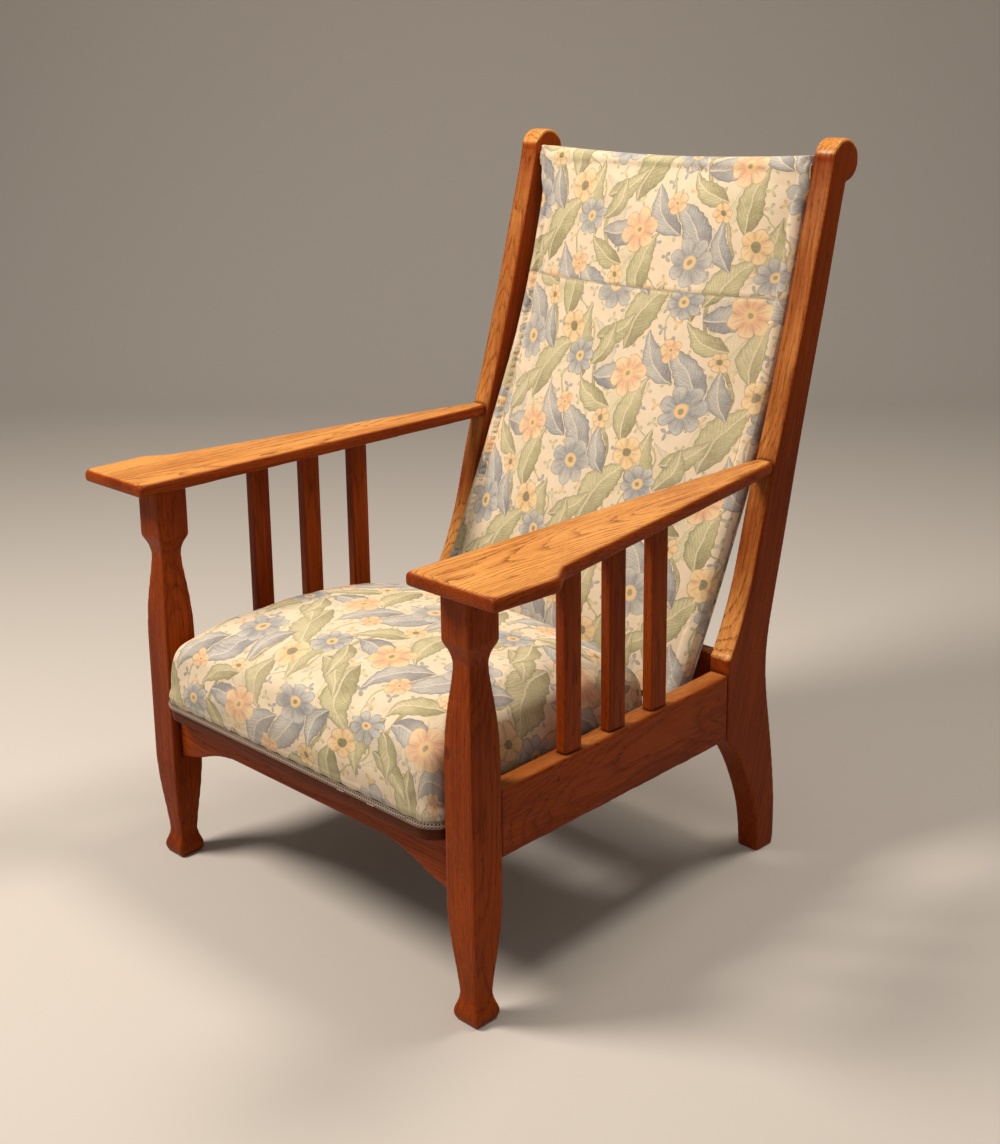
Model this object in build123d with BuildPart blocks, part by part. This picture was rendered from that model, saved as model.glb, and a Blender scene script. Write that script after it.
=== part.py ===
"""Reclining easy chair in oak, with a sliding stuffed seat and a hinged stuffed back.

Lengths are in millimetres. +X is the sitter's left, +Y is the back of the chair and +Z is up.
The origin is on the floor, midway between the front of the arms and the back of the scrolls.
A setback is a distance behind the front faces of the front legs; the sides are a pair of signs.
"""
from build123d import *
import math
import os

os.makedirs("parts", exist_ok=True)

# ---------------------------------------------------------------- driving dimensions
sides = (("left", 1), ("right", -1))
leg_front = -390.6                 # y of the front legs' front faces
leg_size = 50.0                    # square top block of a front leg
leg_outer = 346.3                  # x of the front legs' outer faces
arm_underside_front = 572.6        # height of the arm's underside over the leg's front face
arm_thickness = 19.8
arm_slope = 1.067                  # degrees, the arms rise to the rear
arm_front_setback = -37.0
arm_inset = 18.8                   # arm's inner edge inside the leg's inner face
arm_overhang_front = 80.7          # arm's outer edge beyond the leg's outer face, at its front
arm_overhang_step = 85.7           # the same, at the step
arm_overhang_waist = 60.7          # the same, behind the step
arm_overhang_rear = 4.7            # arm's outer edge beyond the post's outer face
arm_step_front = 64.0              # setback where the step starts
arm_step_rear = 98.0               # setback where the step ends
arm_bevel_lead = 23.4              # the rear corners' bevels start this far ahead of the post
arm_bevel_outer = 9.5
arm_bevel_inner = 5.0
arm_edge_radius = 6.5
arm_lower_radius = 4.0
arm_corner_radius = 13.0
arm_step_radius = 9.0
post_set_in = 33.0                 # rear post's outer face inside the front leg's
post_thickness = 36.2
arris = 2.2                        # softened corners of the oak
fine_arris = 1.2
knee_setback = 538.0               # front face of the post below the knee
knee_ledge = 331.0                 # height of the ledge at the knee
post_rake = 249.5                  # scroll's centre behind the knee
scroll_height = 1022.0
scroll_radius = 31.0
scroll_notch = 2.0                 # where the scroll meets the post's rear edge, behind its centre

# Tables of shares. A post's setbacks are shares of its rake behind the knee, and its heights are shares
# of the knee ledge's height up to 1, then 1 and shares of the rest up to the scroll's centre.
# front edge below the rail: heights are shares of the rail's lower edge
post_lower_shares = [(0.31503, 0), (0.299, 0.21845), (0.26212, 0.42233), (0.21804, 0.56311),
                     (0.1022, 0.83981), (0, 1)]
# front edge above the knee
post_upper_shares = [(0.01403, 1), (0.08216, 1.04631), (0.14028, 1.09262), (0.20842, 1.16208),
                     (0.27255, 1.24891), (0.35271, 1.35022), (0.45291, 1.45876), (0.55511, 1.57887),
                     (0.65331, 1.70043), (0.74549, 1.82344), (0.83968, 1.94501)]
# rear edge, from the floor up
post_rear_shares = [(0.47695, 0), (0.48737, 0.16314), (0.47214, 0.32024), (0.41042, 0.63142),
                    (0.36954, 0.83686), (0.36553, 0.92447), (0.37876, 1.01881), (0.42285, 1.09407),
                    (0.51303, 1.22865), (0.62325, 1.39942), (0.74228, 1.57019), (0.86092, 1.73661),
                    (0.97114, 1.90304)]
# front of the back's edge, from its lower end up
back_front_shares = [(-0.27856, 0.79758), (-0.25651, 0.83082), (-0.18838, 0.93353), (-0.12024, 1.01737),
                     (-0.04008, 1.07381), (0.06814, 1.1534), (0.17234, 1.23444), (0.25251, 1.29667),
                     (0.32866, 1.36035), (0.4008, 1.41968), (0.46894, 1.47612), (0.56914, 1.56295),
                     (0.66132, 1.65847), (0.74148, 1.75398), (0.80962, 1.85094), (0.8517, 1.92475),
                     (0.86172, 1.94501)]
# half width of a front leg as a share of its block, against height as a share of the arm's
leg_waist_shares = [(0.5, 0.88194), (0.484, 0.87146), (0.412, 0.85837), (0.344, 0.84003), (0.318, 0.82082)]
leg_swell_shares = [(0.318, 0.82082), (0.338, 0.79637), (0.408, 0.74048), (0.464, 0.68809), (0.494, 0.6322),
                    (0.5, 0.57632)]
leg_taper_shares = [(0.5, 0.28816), (0.472, 0.22354), (0.412, 0.16416), (0.34, 0.10479), (0.31, 0.07335)]
leg_foot_shares = [(0.31, 0.07335), (0.314, 0.05763), (0.364, 0.04017), (0.426, 0.02183), (0.416, 0.01135),
                   (0.36, 0)]

rail_top = 307.0
rail_bottom_front = 217.5
rail_bottom_rear = 206.0
rail_thickness = 32.0
rail_leg_set = 1.0                 # side rail's outer face inside the leg's
rail_post_set = 0.3                # side rail's outer face beyond the post's
rail_end_gap = 1.6                 # open joint between side rail and rear post
tenon_thickness = 12.0
tenon_length = 28.0
tenon_shoulder = 10.0
stub_tenon = 14.0
slat_shares = (0.292, 0.4795, 0.666)    # places of the slats along the side rail
slat_width = 32.0                  # along the rail
slat_thickness = 17.0
slat_inset = 4.8                   # slat face behind the rail's outer face
slat_tenon = 12.0
slat_tenon_thickness = 9.0
slat_tenon_shoulder = 3.5
front_rail_setback = 14.0
front_rail_thickness = 22.0
front_rail_top = 236.6
front_rail_crest = 199.2           # lower edge at mid width
front_rail_foot = 165.0            # lower edge at the legs
# ogee of the front rail's lower edge: shares of the half span, and of the rise from foot to crest
front_rail_shares = [(0.50624, 1), (0.57712, 0.97076), (0.64799, 0.87719), (0.74587, 0.64327),
                     (0.84374, 0.32164), (0.93824, 0.10234)]
cross_rail_thickness = 24.0
cross_rail_bottom = 226.0
cross_rail_set = 2.0               # behind the knee's face

frame_lift = 1.4                   # seat frame over the front rail
frame_thickness = 24.0
frame_front_setback = -14.0
frame_leg_gap = 4.5                # seat frame beside the front leg
frame_rail_gap = 8.0               # seat frame's rear corner beside the side rail
frame_straight = 60.0              # setback to which the seat frame stays full width
frame_corner_radius = 30.0
front_member_depth = 58.0
rear_member_depth = 50.0
side_member_lap = 19.0             # side member over the runner and beyond it
well_depth = 3.4                   # rebate for the webbing
well_margin = 16.0
slide_clearance = 0.3
runner_ledge = 26.6                # runner's face inside the side rail at the post
runner_height = 23.7
runner_front_gap = 1.0
runner_rear_gap = 2.0
guide_thickness = 10.0
guide_gap = 0.6
guide_drop = 12.0
guide_rear_inset = 33.0
guide_front_clearance = 0.6        # guide to front rail after the seat's full travel
stop_length = 30.0
stop_gap = 0.5
seat_travel = 90.0
strap_thickness = 1.5
strap_width = 50.0
lengthwise_straps = 5
crosswise_straps = 5
under_cover_thickness = 0.7
screw_radius = 2.2
screw_head_radius = 4.2
screw_head_height = 2.4
screw_shares = (0.08, 0.36, 0.64, 0.92)
runner_screw_bite = 17.0           # depth of a runner screw in the side rail

cushion_front_setback = -20.5      # widest point of the stuffed seat's front
cushion_rear_overlap = 3.0         # stuffed seat behind its frame
cushion_crown = 398.0
cushion_side_drop = 36.0           # fall of the crown at the sides
cushion_front_proud = 2.5          # stuffed seat beyond its frame's sides
cushion_rear_proud = 2.2
# sections of the stuffed seat, from the side inwards, as shares of its half width
cushion_shares = (0.0024, 0.0075, 0.017, 0.032, 0.051, 0.075, 0.105, 0.15, 0.21, 0.29, 0.4, 0.54, 0.7, 0.85)
cushion_fall_share = 2.8           # power by which the crown falls towards the sides
cushion_front_round = 30.0         # plan corners
cushion_rear_round = 46.0
cushion_edge_round = 21.0          # side top edge
cushion_tuck = 3.0                 # the cover draws in to the frame
cushion_shoulder = 27.0
cushion_lean = 3.0
cushion_front_fall = 24.0
cushion_rear_fall = 15.0
cushion_rear_side_fall = 12.0
cushion_crest_ahead = 60.0
braid_drop = 9.8                   # braid's lower edge below the frame's top
braid_height = 9.0
braid_thickness = 2.6

pivot_lead = 16.5                  # hinge of the back ahead of the scroll's centre
pivot_drop = 18.0                  # hinge of the back below the scroll's centre
pin_radius = 5.0
pin_length = 42.0
pin_in_post = 14.0
pin_running_clearance = 0.05
bush_radius = 7.5
bush_length = 16.0
washer_radius = 10.0
washer_thickness = 1.6
washer_space = 5.6                 # between the top rail's end and the post
top_rail_size = 24.0
back_side_gap = 15.1               # back's side beside the post
stile_width = 32.0
back_pad_edge = 8.0                # stuffing in front of the stile at its edge
stile_depth = 22.0
cover_gap = 1.0
cover_thickness = 2.6
fabric_thickness = 2.6
stile_bottom = 268.0
stile_top_drop = 12.1              # stile's end below the hinge
bottom_rail_height = 38.0
pad_lift = 16.0                    # stuffing's lower edge over the stile's end
pad_top_drop = 13.0
pad_crown = 30.0                   # stuffing's rise over its edge, at mid width
pad_corner = 7.0
pad_crown_end = 3.0
pad_crown_share = 0.5
pad_height_shares = (0, 0.02263, 0.06506, 0.13579, 0.21641, 0.30552, 0.39038, 0.47666, 0.57426, 0.67327, 0.77228, 0.87129, 0.94201, 0.96747, 0.98444, 1)
pad_wide_gap = 4.5                 # the cover is full width where it meets the top roll
pad_wide_start_drop = 54.0
pad_wide_end_drop = 24.0
flap_gap = 0.2
pad_gap = 0.4
roll_gap = 3.5                     # roll's end beside the post
roll_shares = (-1.0, -0.75, -0.4, 0.0, 0.4, 0.75, 1.0)
roll_rise_middle = 14.5
roll_rise_end = 24.0
roll_power_share = 1.7
roll_drop = 11.6
roll_depth = 17.5
roll_play = 0.3
back_columns = 4
back_rows = 7
back_row_gap = 24.0

link_lead = 13.5                   # link pin ahead of the back's lower end
link_radius = 4.0
link_slack = 1.5                   # play of the link pin in its slot
link_x = 150.0
link_screw_pitch = 22.0
link_screw_length = 22.0
link_pin_length = 19.0
plate_reach = 39.0                 # link pin behind the seat frame
plate_thickness = 4.0
plate_depth = 26.0
plate_foot = 3.0
plate_foot_lift = 2.0
plate_foot_width = 34.0
slot_below = 6.0                   # slot's ends below and above the link pin at rest
slot_above = 52.0
plate_cap = 7.0
ear_gap = 3.0
ear_thickness = 3.0
ear_below = 9.0
ear_ahead = 9.0
ear_above = 9.0
ear_nose_behind = 11.0
ear_slope_behind = 19.0
ear_rear_behind = 48.0
bracket_flange = 3.0
bracket_width = 60.0
bracket_screw_pitch = 44.0
level_share = 0.99                 # cosine that tells the arm's flat faces

# ---------------------------------------------------------------- sizes that follow from those above
leg_inner = leg_outer - leg_size
post_outer = leg_outer - post_set_in
post_inner = post_outer - post_thickness
scroll_setback = knee_setback + post_rake
arm_inner = leg_inner - arm_inset
arm_outer_rear = post_outer + arm_overhang_rear
rail_outer_front = leg_outer - rail_leg_set
rail_outer_rear = post_outer + rail_post_set
cross_rail_setback = knee_setback + cross_rail_set
pivot_setback = scroll_setback - pivot_lead
pivot_height = scroll_height - pivot_drop
top_rail_half = post_inner - washer_space
roll_half = post_inner - roll_gap
back_half = post_inner - back_side_gap      # outer faces of the back's stiles
pad_wide_half = post_inner - pad_wide_gap
stile_top = pivot_height - stile_top_drop
bottom_rail_top = stile_bottom + bottom_rail_height
pad_bottom = stile_bottom + pad_lift
pad_top = pivot_height - pad_top_drop
pad_wide_start = pivot_height - pad_wide_start_drop
pad_wide_end = pivot_height - pad_wide_end_drop
frame_bottom = front_rail_top + frame_lift
frame_top = frame_bottom + frame_thickness
frame_half_front = leg_inner - frame_leg_gap
runner_inner = rail_outer_rear - rail_thickness - runner_ledge
runner_top = frame_bottom - slide_clearance
runner_bottom = runner_top - runner_height
runner_front_setback = leg_size + runner_front_gap
runner_rear_setback = knee_setback - runner_rear_gap
side_member_inner = runner_inner - side_member_lap
braid_bottom = frame_top - braid_drop
link_height = stile_bottom


def post_point(setback_share, height_share):
    """Return the setback and height of a place that is given in shares of a rear post."""
    height = (height_share * knee_ledge if height_share <= 1
              else knee_ledge + (height_share - 1) * (scroll_height - knee_ledge))
    return knee_setback + setback_share * post_rake, height


back_front = [post_point(*pair) for pair in back_front_shares]
post_upper_front = [post_point(*pair) for pair in post_upper_shares]


def at(setback):
    """Return the y of a setback from the front legs' front faces."""
    return leg_front + setback


def along(points, height):
    """Return the setback of a table of (setback, height) points at a height."""
    for (s0, z0), (s1, z1) in zip(points, points[1:]):
        if z0 <= height <= z1:
            return s0 + (s1 - s0) * (height - z0) / (z1 - z0)
    return points[0][0] if height < points[0][1] else points[-1][0]


def rail_outer(setback):
    """Return the x of a side rail's outer face at a setback."""
    share = (setback - leg_size) / (knee_setback - leg_size)
    return rail_outer_front + (rail_outer_rear - rail_outer_front) * share


link_setback = along(back_front, link_height) - link_lead      # link pin at the back's lower end
frame_rear_setback = link_setback - plate_reach
frame_half_rear = rail_outer(frame_rear_setback) - rail_thickness - frame_rail_gap
cushion_rear_setback = frame_rear_setback + cushion_rear_overlap
cushion_half = frame_half_front + cushion_front_proud
cushion_half_rear = frame_half_rear + cushion_rear_proud
guide_rear_setback = frame_rear_setback - guide_rear_inset
guide_front_setback = front_rail_setback + front_rail_thickness + guide_front_clearance + seat_travel
slat_setbacks = [leg_size + (knee_setback - leg_size) * share for share in slat_shares]
slot_low = link_height - slot_below
slot_high = link_height + slot_above
plate_top = slot_high + plate_cap
plate_bottom = frame_bottom + plate_foot_lift
ear_bottom = link_height - ear_below
ear_front = link_setback - ear_ahead
ear_nose_top = link_height + ear_above
ear_nose_rear = link_setback + ear_nose_behind
ear_slope = link_setback + ear_slope_behind
ear_rear = link_setback + ear_rear_behind
back_row_start = bottom_rail_top + back_row_gap
back_row_pitch = (stile_top - well_margin - strap_width - back_row_start) / (back_rows - 1)
back_column_pitch = (back_half - stile_width) * 2 / back_columns


def soften(part, edges, radius):
    """Round the given edges of a finished piece, or the ones that will take it."""
    edges = list(edges)
    try:
        return fillet(edges, radius)
    except Exception:
        return chamfer(edges, radius / 2)


arm_rise = math.tan(math.radians(arm_slope))


def arm_underside(setback):
    """Return the height of the arm's underside at a setback."""
    return arm_underside_front + arm_rise * setback


def leg_outline(offset, top):
    """Draw a front leg's face about a local x, inside the running line context."""
    tables = (leg_waist_shares, leg_swell_shares, leg_taper_shares, leg_foot_shares)
    near = [[(offset + h * leg_size, z * arm_underside_front) for h, z in table] for table in tables]
    far = [[(offset - h * leg_size, z * arm_underside_front) for h, z in table] for table in tables]
    for waist, swell, taper, foot in (near, far):
        Line((waist[0][0], top), waist[0])
        Spline(waist)
        Spline(swell)
        Line(swell[-1], taper[0])
        Spline(taper)
        Spline(foot)
    Line((near[0][0][0], top), (far[0][0][0], top))
    Line(near[-1][-1], far[-1][-1])


# ---------------------------------------------------------------- front legs
leg_center = leg_outer - leg_size / 2
for side, sign in sides:
    leg_top = arm_underside(leg_size) + fine_arris
    with BuildPart() as leg:
        with BuildSketch(Plane.XZ):
            with BuildLine():
                leg_outline(sign * leg_center, leg_top)
            make_face()
        extrude(amount=leg_outer * 2, both=True)
        with BuildSketch(Plane.YZ):
            with BuildLine():
                leg_outline(at(leg_size / 2), leg_top)
            make_face()
        extrude(amount=leg_outer * 2, both=True, mode=Mode.INTERSECT)
        soften(leg, leg.edges().filter_by(lambda e: e.length > leg_size / 4).filter_by(
            lambda e: abs((e @ 0.0).Z - (e @ 1.0).Z) > fine_arris), arris)
        # the arm's underside cuts the top of the leg
        with BuildSketch(Plane.YZ):
            with BuildLine():
                Polyline([(at(-leg_size), arm_underside(-leg_size)), (at(leg_size * 2), arm_underside(leg_size * 2)),
                          (at(leg_size * 2), leg_top * 2), (at(-leg_size), leg_top * 2)], close=True)
            make_face()
        extrude(amount=leg_outer * 2, both=True, mode=Mode.SUBTRACT)
        # mortises for the side rail and the front rail
        with Locations((sign * (rail_outer(leg_size) - rail_thickness / 2), at(leg_size - tenon_length / 2),
                        (rail_top + rail_bottom_front) / 2)):
            Box(tenon_thickness, tenon_length, rail_top - rail_bottom_front - tenon_shoulder * 2, mode=Mode.SUBTRACT)
        with Locations((sign * (leg_outer - leg_size + stub_tenon / 2), at(front_rail_setback + front_rail_thickness / 2),
                        (front_rail_top + front_rail_foot) / 2)):
            Box(stub_tenon, tenon_thickness, front_rail_top - front_rail_foot - tenon_shoulder * 2,
                mode=Mode.SUBTRACT)
    leg.part.label = f"front_leg_{side}"
    export_step(leg.part, f"parts/front_leg_{side}.step")

# ---------------------------------------------------------------- rear posts and pivot bushes
scroll_top = (at(scroll_setback), scroll_height + scroll_radius)
scroll_back = (at(scroll_setback + scroll_radius), scroll_height)
scroll_shoulder = (at(scroll_setback - scroll_radius * math.sqrt(0.5)),
                   scroll_height + scroll_radius * math.sqrt(0.5))
with BuildSketch(Plane.YZ) as post_face:
    with BuildLine():
        lower = [(at(knee_setback + s * post_rake), z * rail_bottom_rear) for s, z in post_lower_shares]
        upper = [(at(s), z) for s, z in post_upper_front] + [(at(scroll_setback - scroll_radius), scroll_height)]
        rear_line = [(at(s), z) for s, z in (post_point(*pair) for pair in post_rear_shares)]
        rear_line += [(at(scroll_setback + scroll_notch),
                       scroll_height - math.sqrt(scroll_radius ** 2 - scroll_notch ** 2))]
        Spline(lower)
        Polyline([lower[-1], (at(knee_setback), knee_ledge), upper[0]])
        Spline(upper)
        ThreePointArc(upper[-1], scroll_shoulder, scroll_top)
        ThreePointArc(scroll_top, scroll_back, rear_line[-1])
        Spline(rear_line)
        Line(rear_line[0], lower[0])
    make_face()

for side, sign in sides:
    with BuildPart() as post:
        add(extrude(post_face.sketch, amount=sign * post_thickness, mode=Mode.PRIVATE).moved(
            Location((sign * post_inner, 0.0, 0.0))))
        soften(post, post.edges().filter_by(lambda e: e.length > leg_size).filter_by(
            lambda e: abs((e @ 0.0).X - (e @ 1.0).X) < fine_arris).filter_by(
            lambda e: not rail_bottom_rear < e.center().Z < knee_ledge), arris)
        with Locations((sign * (rail_outer(knee_setback) - rail_thickness / 2),
                        at(knee_setback + tenon_length / 2), (rail_top + rail_bottom_rear) / 2)):
            Box(tenon_thickness, tenon_length, rail_top - rail_bottom_rear - tenon_shoulder * 2,
                mode=Mode.SUBTRACT)
        with Locations((sign * (post_inner + stub_tenon / 2), at(cross_rail_setback + cross_rail_thickness / 2),
                        (knee_ledge + cross_rail_bottom) / 2)):
            Box(stub_tenon, tenon_thickness, knee_ledge - cross_rail_bottom - tenon_shoulder * 2,
                mode=Mode.SUBTRACT)
        with BuildSketch(Plane.YZ.offset(sign * post_inner)):
            with Locations((at(pivot_setback), pivot_height)):
                Circle(bush_radius)
        extrude(amount=sign * bush_length, mode=Mode.SUBTRACT)
    post.part.label = f"rear_post_{side}"
    export_step(post.part, f"parts/rear_post_{side}.step")

    with BuildPart() as bush:
        with BuildSketch(Plane.YZ.offset(sign * post_inner)):
            with Locations((at(pivot_setback), pivot_height)):
                Circle(bush_radius)
                Circle(pin_radius + pin_running_clearance, mode=Mode.SUBTRACT)
        extrude(amount=sign * bush_length)
    bush.part.label = f"pivot_bush_{side}"
    export_step(bush.part, f"parts/pivot_bush_{side}.step")

# ---------------------------------------------------------------- arms
tilt = math.radians(arm_slope)
arm_plane = Plane(origin=(0.0, at(0.0), arm_underside_front), x_dir=(1.0, 0.0, 0.0),
                  z_dir=(0.0, -math.sin(tilt), math.cos(tilt)))
arm_bevel_setback = along(post_upper_front, arm_underside_front) - arm_bevel_lead
arm_outline = [(arm_inner, arm_front_setback), (leg_outer + arm_overhang_front, arm_front_setback),
               (leg_outer + arm_overhang_step, arm_step_front), (leg_outer + arm_overhang_waist, arm_step_rear),
               (arm_outer_rear, arm_bevel_setback), (arm_outer_rear - arm_bevel_outer, arm_bevel_setback + leg_size),
               (arm_inner + arm_bevel_inner, arm_bevel_setback + leg_size), (arm_inner, arm_bevel_setback)]
for side, sign in sides:
    with BuildPart() as arm:
        with BuildSketch(arm_plane):
            with BuildLine():
                Polyline([(sign * x, s) for x, s in arm_outline], close=True)
            make_face()
            fillet(vertices().filter_by(lambda v: v.Y < at(arm_front_setback / 2)), arm_corner_radius)
            fillet(vertices().filter_by(lambda v: at(arm_step_front - leg_size) < v.Y < at(arm_step_rear + leg_size)),
                   arm_step_radius)
        extrude(amount=arm_thickness)
        top_face = arm.faces().filter_by(lambda f: f.normal_at().Z > level_share)[0]
        fillet(top_face.edges().filter_by(lambda e: e.center().Y < at(arm_bevel_setback + leg_size / 2)),
               arm_edge_radius)
        low_face = arm.faces().filter_by(lambda f: f.normal_at().Z < -level_share)[0]
        fillet(low_face.edges().filter_by(lambda e: e.center().Y < at(arm_bevel_setback + leg_size / 2)),
               arm_lower_radius)
        # the rear end is scribed to the post's curved front
        add(extrude(post_face.sketch, amount=leg_outer * 2, both=True, mode=Mode.PRIVATE), mode=Mode.SUBTRACT)
        # mortises for the slats
        for setback in slat_setbacks:
            with Locations((sign * (rail_outer(setback) - slat_inset - slat_thickness / 2), at(setback),
                            arm_underside(setback))):
                Box(slat_tenon_thickness, slat_width - slat_tenon_shoulder * 2, slat_tenon * 2, mode=Mode.SUBTRACT)
    arm.part.label = f"arm_{side}"
    export_step(arm.part, f"parts/arm_{side}.step")

# ---------------------------------------------------------------- side rails and slats
rail_start, rail_end = leg_size, knee_setback - rail_end_gap
for side, sign in sides:
    with BuildPart() as rail:
        with BuildSketch(Plane.XY):
            with BuildLine():
                Polyline([(sign * rail_outer(rail_start), at(rail_start)), (sign * rail_outer(rail_end), at(rail_end)),
                          (sign * (rail_outer(rail_end) - rail_thickness), at(rail_end)),
                          (sign * (rail_outer(rail_start) - rail_thickness), at(rail_start))], close=True)
            make_face()
        extrude(amount=rail_top)
        with BuildSketch(Plane.YZ):
            with BuildLine():
                Polyline([(at(rail_start), rail_bottom_front), (at(rail_end), rail_bottom_rear),
                          (at(rail_end), rail_top), (at(rail_start), rail_top)], close=True)
            make_face()
        extrude(amount=leg_outer * 2, both=True, mode=Mode.INTERSECT)
        soften(rail, rail.edges().filter_by(lambda e: e.length > leg_size * 3), arris)
        for setback in slat_setbacks:
            with Locations((sign * (rail_outer(setback) - slat_inset - slat_thickness / 2), at(setback), rail_top)):
                Box(slat_tenon_thickness, slat_width - slat_tenon_shoulder * 2, slat_tenon * 2, mode=Mode.SUBTRACT)
        with Locations((sign * (rail_outer(rail_start) - rail_thickness / 2), at(rail_start - tenon_length / 2),
                        (rail_top + rail_bottom_front) / 2)):
            Box(tenon_thickness, tenon_length, rail_top - rail_bottom_front - tenon_shoulder * 2)
        with Locations((sign * (rail_outer(knee_setback) - rail_thickness / 2),
                        at((rail_end + knee_setback + tenon_length) / 2), (rail_top + rail_bottom_rear) / 2)):
            Box(tenon_thickness, tenon_length + rail_end_gap,
                rail_top - rail_bottom_rear - tenon_shoulder * 2)
    rail.part.label = f"side_rail_{side}"
    export_step(rail.part, f"parts/side_rail_{side}.step")

    for number, setback in enumerate(slat_setbacks, start=1):
        slat_x = sign * (rail_outer(setback) - slat_inset - slat_thickness / 2)
        slat_high = arm_underside(setback + slat_width)
        with BuildPart() as slat:
            with Locations((slat_x, at(setback), (rail_top + slat_high) / 2)):
                Box(slat_thickness, slat_width, slat_high - rail_top)
            fillet(slat.edges().filter_by(Axis.Z), fine_arris)
            with BuildSketch(Plane.YZ):
                with BuildLine():
                    Polyline([(at(setback - slat_width), arm_underside(setback - slat_width)),
                              (at(setback + slat_width), arm_underside(setback + slat_width)),
                              (at(setback + slat_width), slat_high * 2), (at(setback - slat_width), slat_high * 2)],
                             close=True)
                make_face()
            extrude(amount=leg_outer * 2, both=True, mode=Mode.SUBTRACT)
            with Locations((slat_x, at(setback), (rail_top + arm_underside(setback)) / 2)):
                Box(slat_tenon_thickness, slat_width - slat_tenon_shoulder * 2,
                    arm_underside(setback) - rail_top + slat_tenon * 2)
        slat.part.label = f"slat_{side}_{number}"
        export_step(slat.part, f"parts/slat_{side}_{number}.step")

# ---------------------------------------------------------------- front rail and rear cross rail
with BuildPart() as front_rail:
    with BuildSketch(Plane.XZ.offset(-at(front_rail_setback))):
        with BuildLine():
            right = [(x * leg_inner, front_rail_foot + z * (front_rail_crest - front_rail_foot))
                     for x, z in front_rail_shares] + [(leg_inner, front_rail_foot)]
            left = [(-x, z) for x, z in right]
            Spline(right)
            Spline(left)
            Line(right[0], left[0])
            Polyline([right[-1], (leg_inner, front_rail_top), (-leg_inner, front_rail_top), left[-1]])
        make_face()
    extrude(amount=-front_rail_thickness)
    soften(front_rail, front_rail.edges().filter_by(lambda e: e.length > leg_size).filter_by(
        lambda e: abs((e @ 0.0).X - (e @ 1.0).X) > leg_size), fine_arris)
    with Locations((0.0, at(front_rail_setback + front_rail_thickness / 2), (front_rail_top + front_rail_foot) / 2)):
        with GridLocations(leg_inner * 2 + stub_tenon, 0.0, 2, 1):
            Box(stub_tenon, tenon_thickness, front_rail_top - front_rail_foot - tenon_shoulder * 2)
front_rail.part.label = "front_rail"
export_step(front_rail.part, "parts/front_rail.step")

with BuildPart() as cross_rail:
    with Locations((0.0, at(cross_rail_setback + cross_rail_thickness / 2), (knee_ledge + cross_rail_bottom) / 2)):
        Box(post_inner * 2, cross_rail_thickness, knee_ledge - cross_rail_bottom)
        soften(cross_rail, cross_rail.edges().filter_by(Axis.X), arris)
        with GridLocations(post_inner * 2 + stub_tenon, 0.0, 2, 1):
            Box(stub_tenon, tenon_thickness, knee_ledge - cross_rail_bottom - tenon_shoulder * 2)
cross_rail.part.label = "rear_cross_rail"
export_step(cross_rail.part, "parts/rear_cross_rail.step")

# ---------------------------------------------------------------- runners, rear stops and their screws
screw_setbacks = [runner_front_setback + (runner_rear_setback - runner_front_setback) * share for share in screw_shares]
for side, sign in sides:
    with BuildPart() as runner:
        with BuildSketch(Plane.XY.offset(runner_bottom)):
            with BuildLine():
                Polyline([(sign * runner_inner, at(runner_front_setback)),
                          (sign * (rail_outer(runner_front_setback) - rail_thickness), at(runner_front_setback)),
                          (sign * (rail_outer(runner_rear_setback) - rail_thickness), at(runner_rear_setback)),
                          (sign * runner_inner, at(runner_rear_setback))], close=True)
            make_face()
        extrude(amount=runner_top - runner_bottom)
        fillet(runner.edges().filter_by(Axis.Y).group_by(Axis.Z)[-1], fine_arris)
    runner.part.label = f"runner_{side}"
    export_step(runner.part, f"parts/runner_{side}.step")

    with BuildPart() as stop:
        with Locations((sign * (runner_inner - guide_gap - guide_thickness), at(guide_rear_setback + stop_gap
                        + stop_length / 2), (runner_bottom + runner_top) / 2 - fine_arris)):
            Box(guide_thickness * 2 + guide_gap * 2, stop_length, runner_top - runner_bottom - fine_arris * 2)
        fillet(stop.edges().filter_by(Axis.Z), fine_arris)
    stop.part.label = f"rear_stop_{side}"
    export_step(stop.part, f"parts/rear_stop_{side}.step")

with BuildPart() as runner_screws:
    for side, sign in sides:
        for setback in screw_setbacks:
            face = Plane(origin=(sign * runner_inner, at(setback), (runner_bottom + runner_top) / 2),
                         x_dir=(0.0, 1.0, 0.0), z_dir=(sign, 0.0, 0.0))
            with BuildSketch(face):
                Circle(screw_radius)
            extrude(amount=rail_outer(setback) - rail_thickness - runner_inner + runner_screw_bite)
            with BuildSketch(face):
                Circle(screw_head_radius)
            extrude(amount=screw_head_height)
runner_screws.part.label = "runner_screws"
export_step(runner_screws.part, "parts/runner_screws.step")

# ---------------------------------------------------------------- sliding seat frame
def frame_half(setback):
    """Return the half width of the seat frame at a setback."""
    share = max(0.0, (setback - frame_straight) / (frame_rear_setback - frame_straight))
    return frame_half_front + (frame_half_rear - frame_half_front) * share


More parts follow.
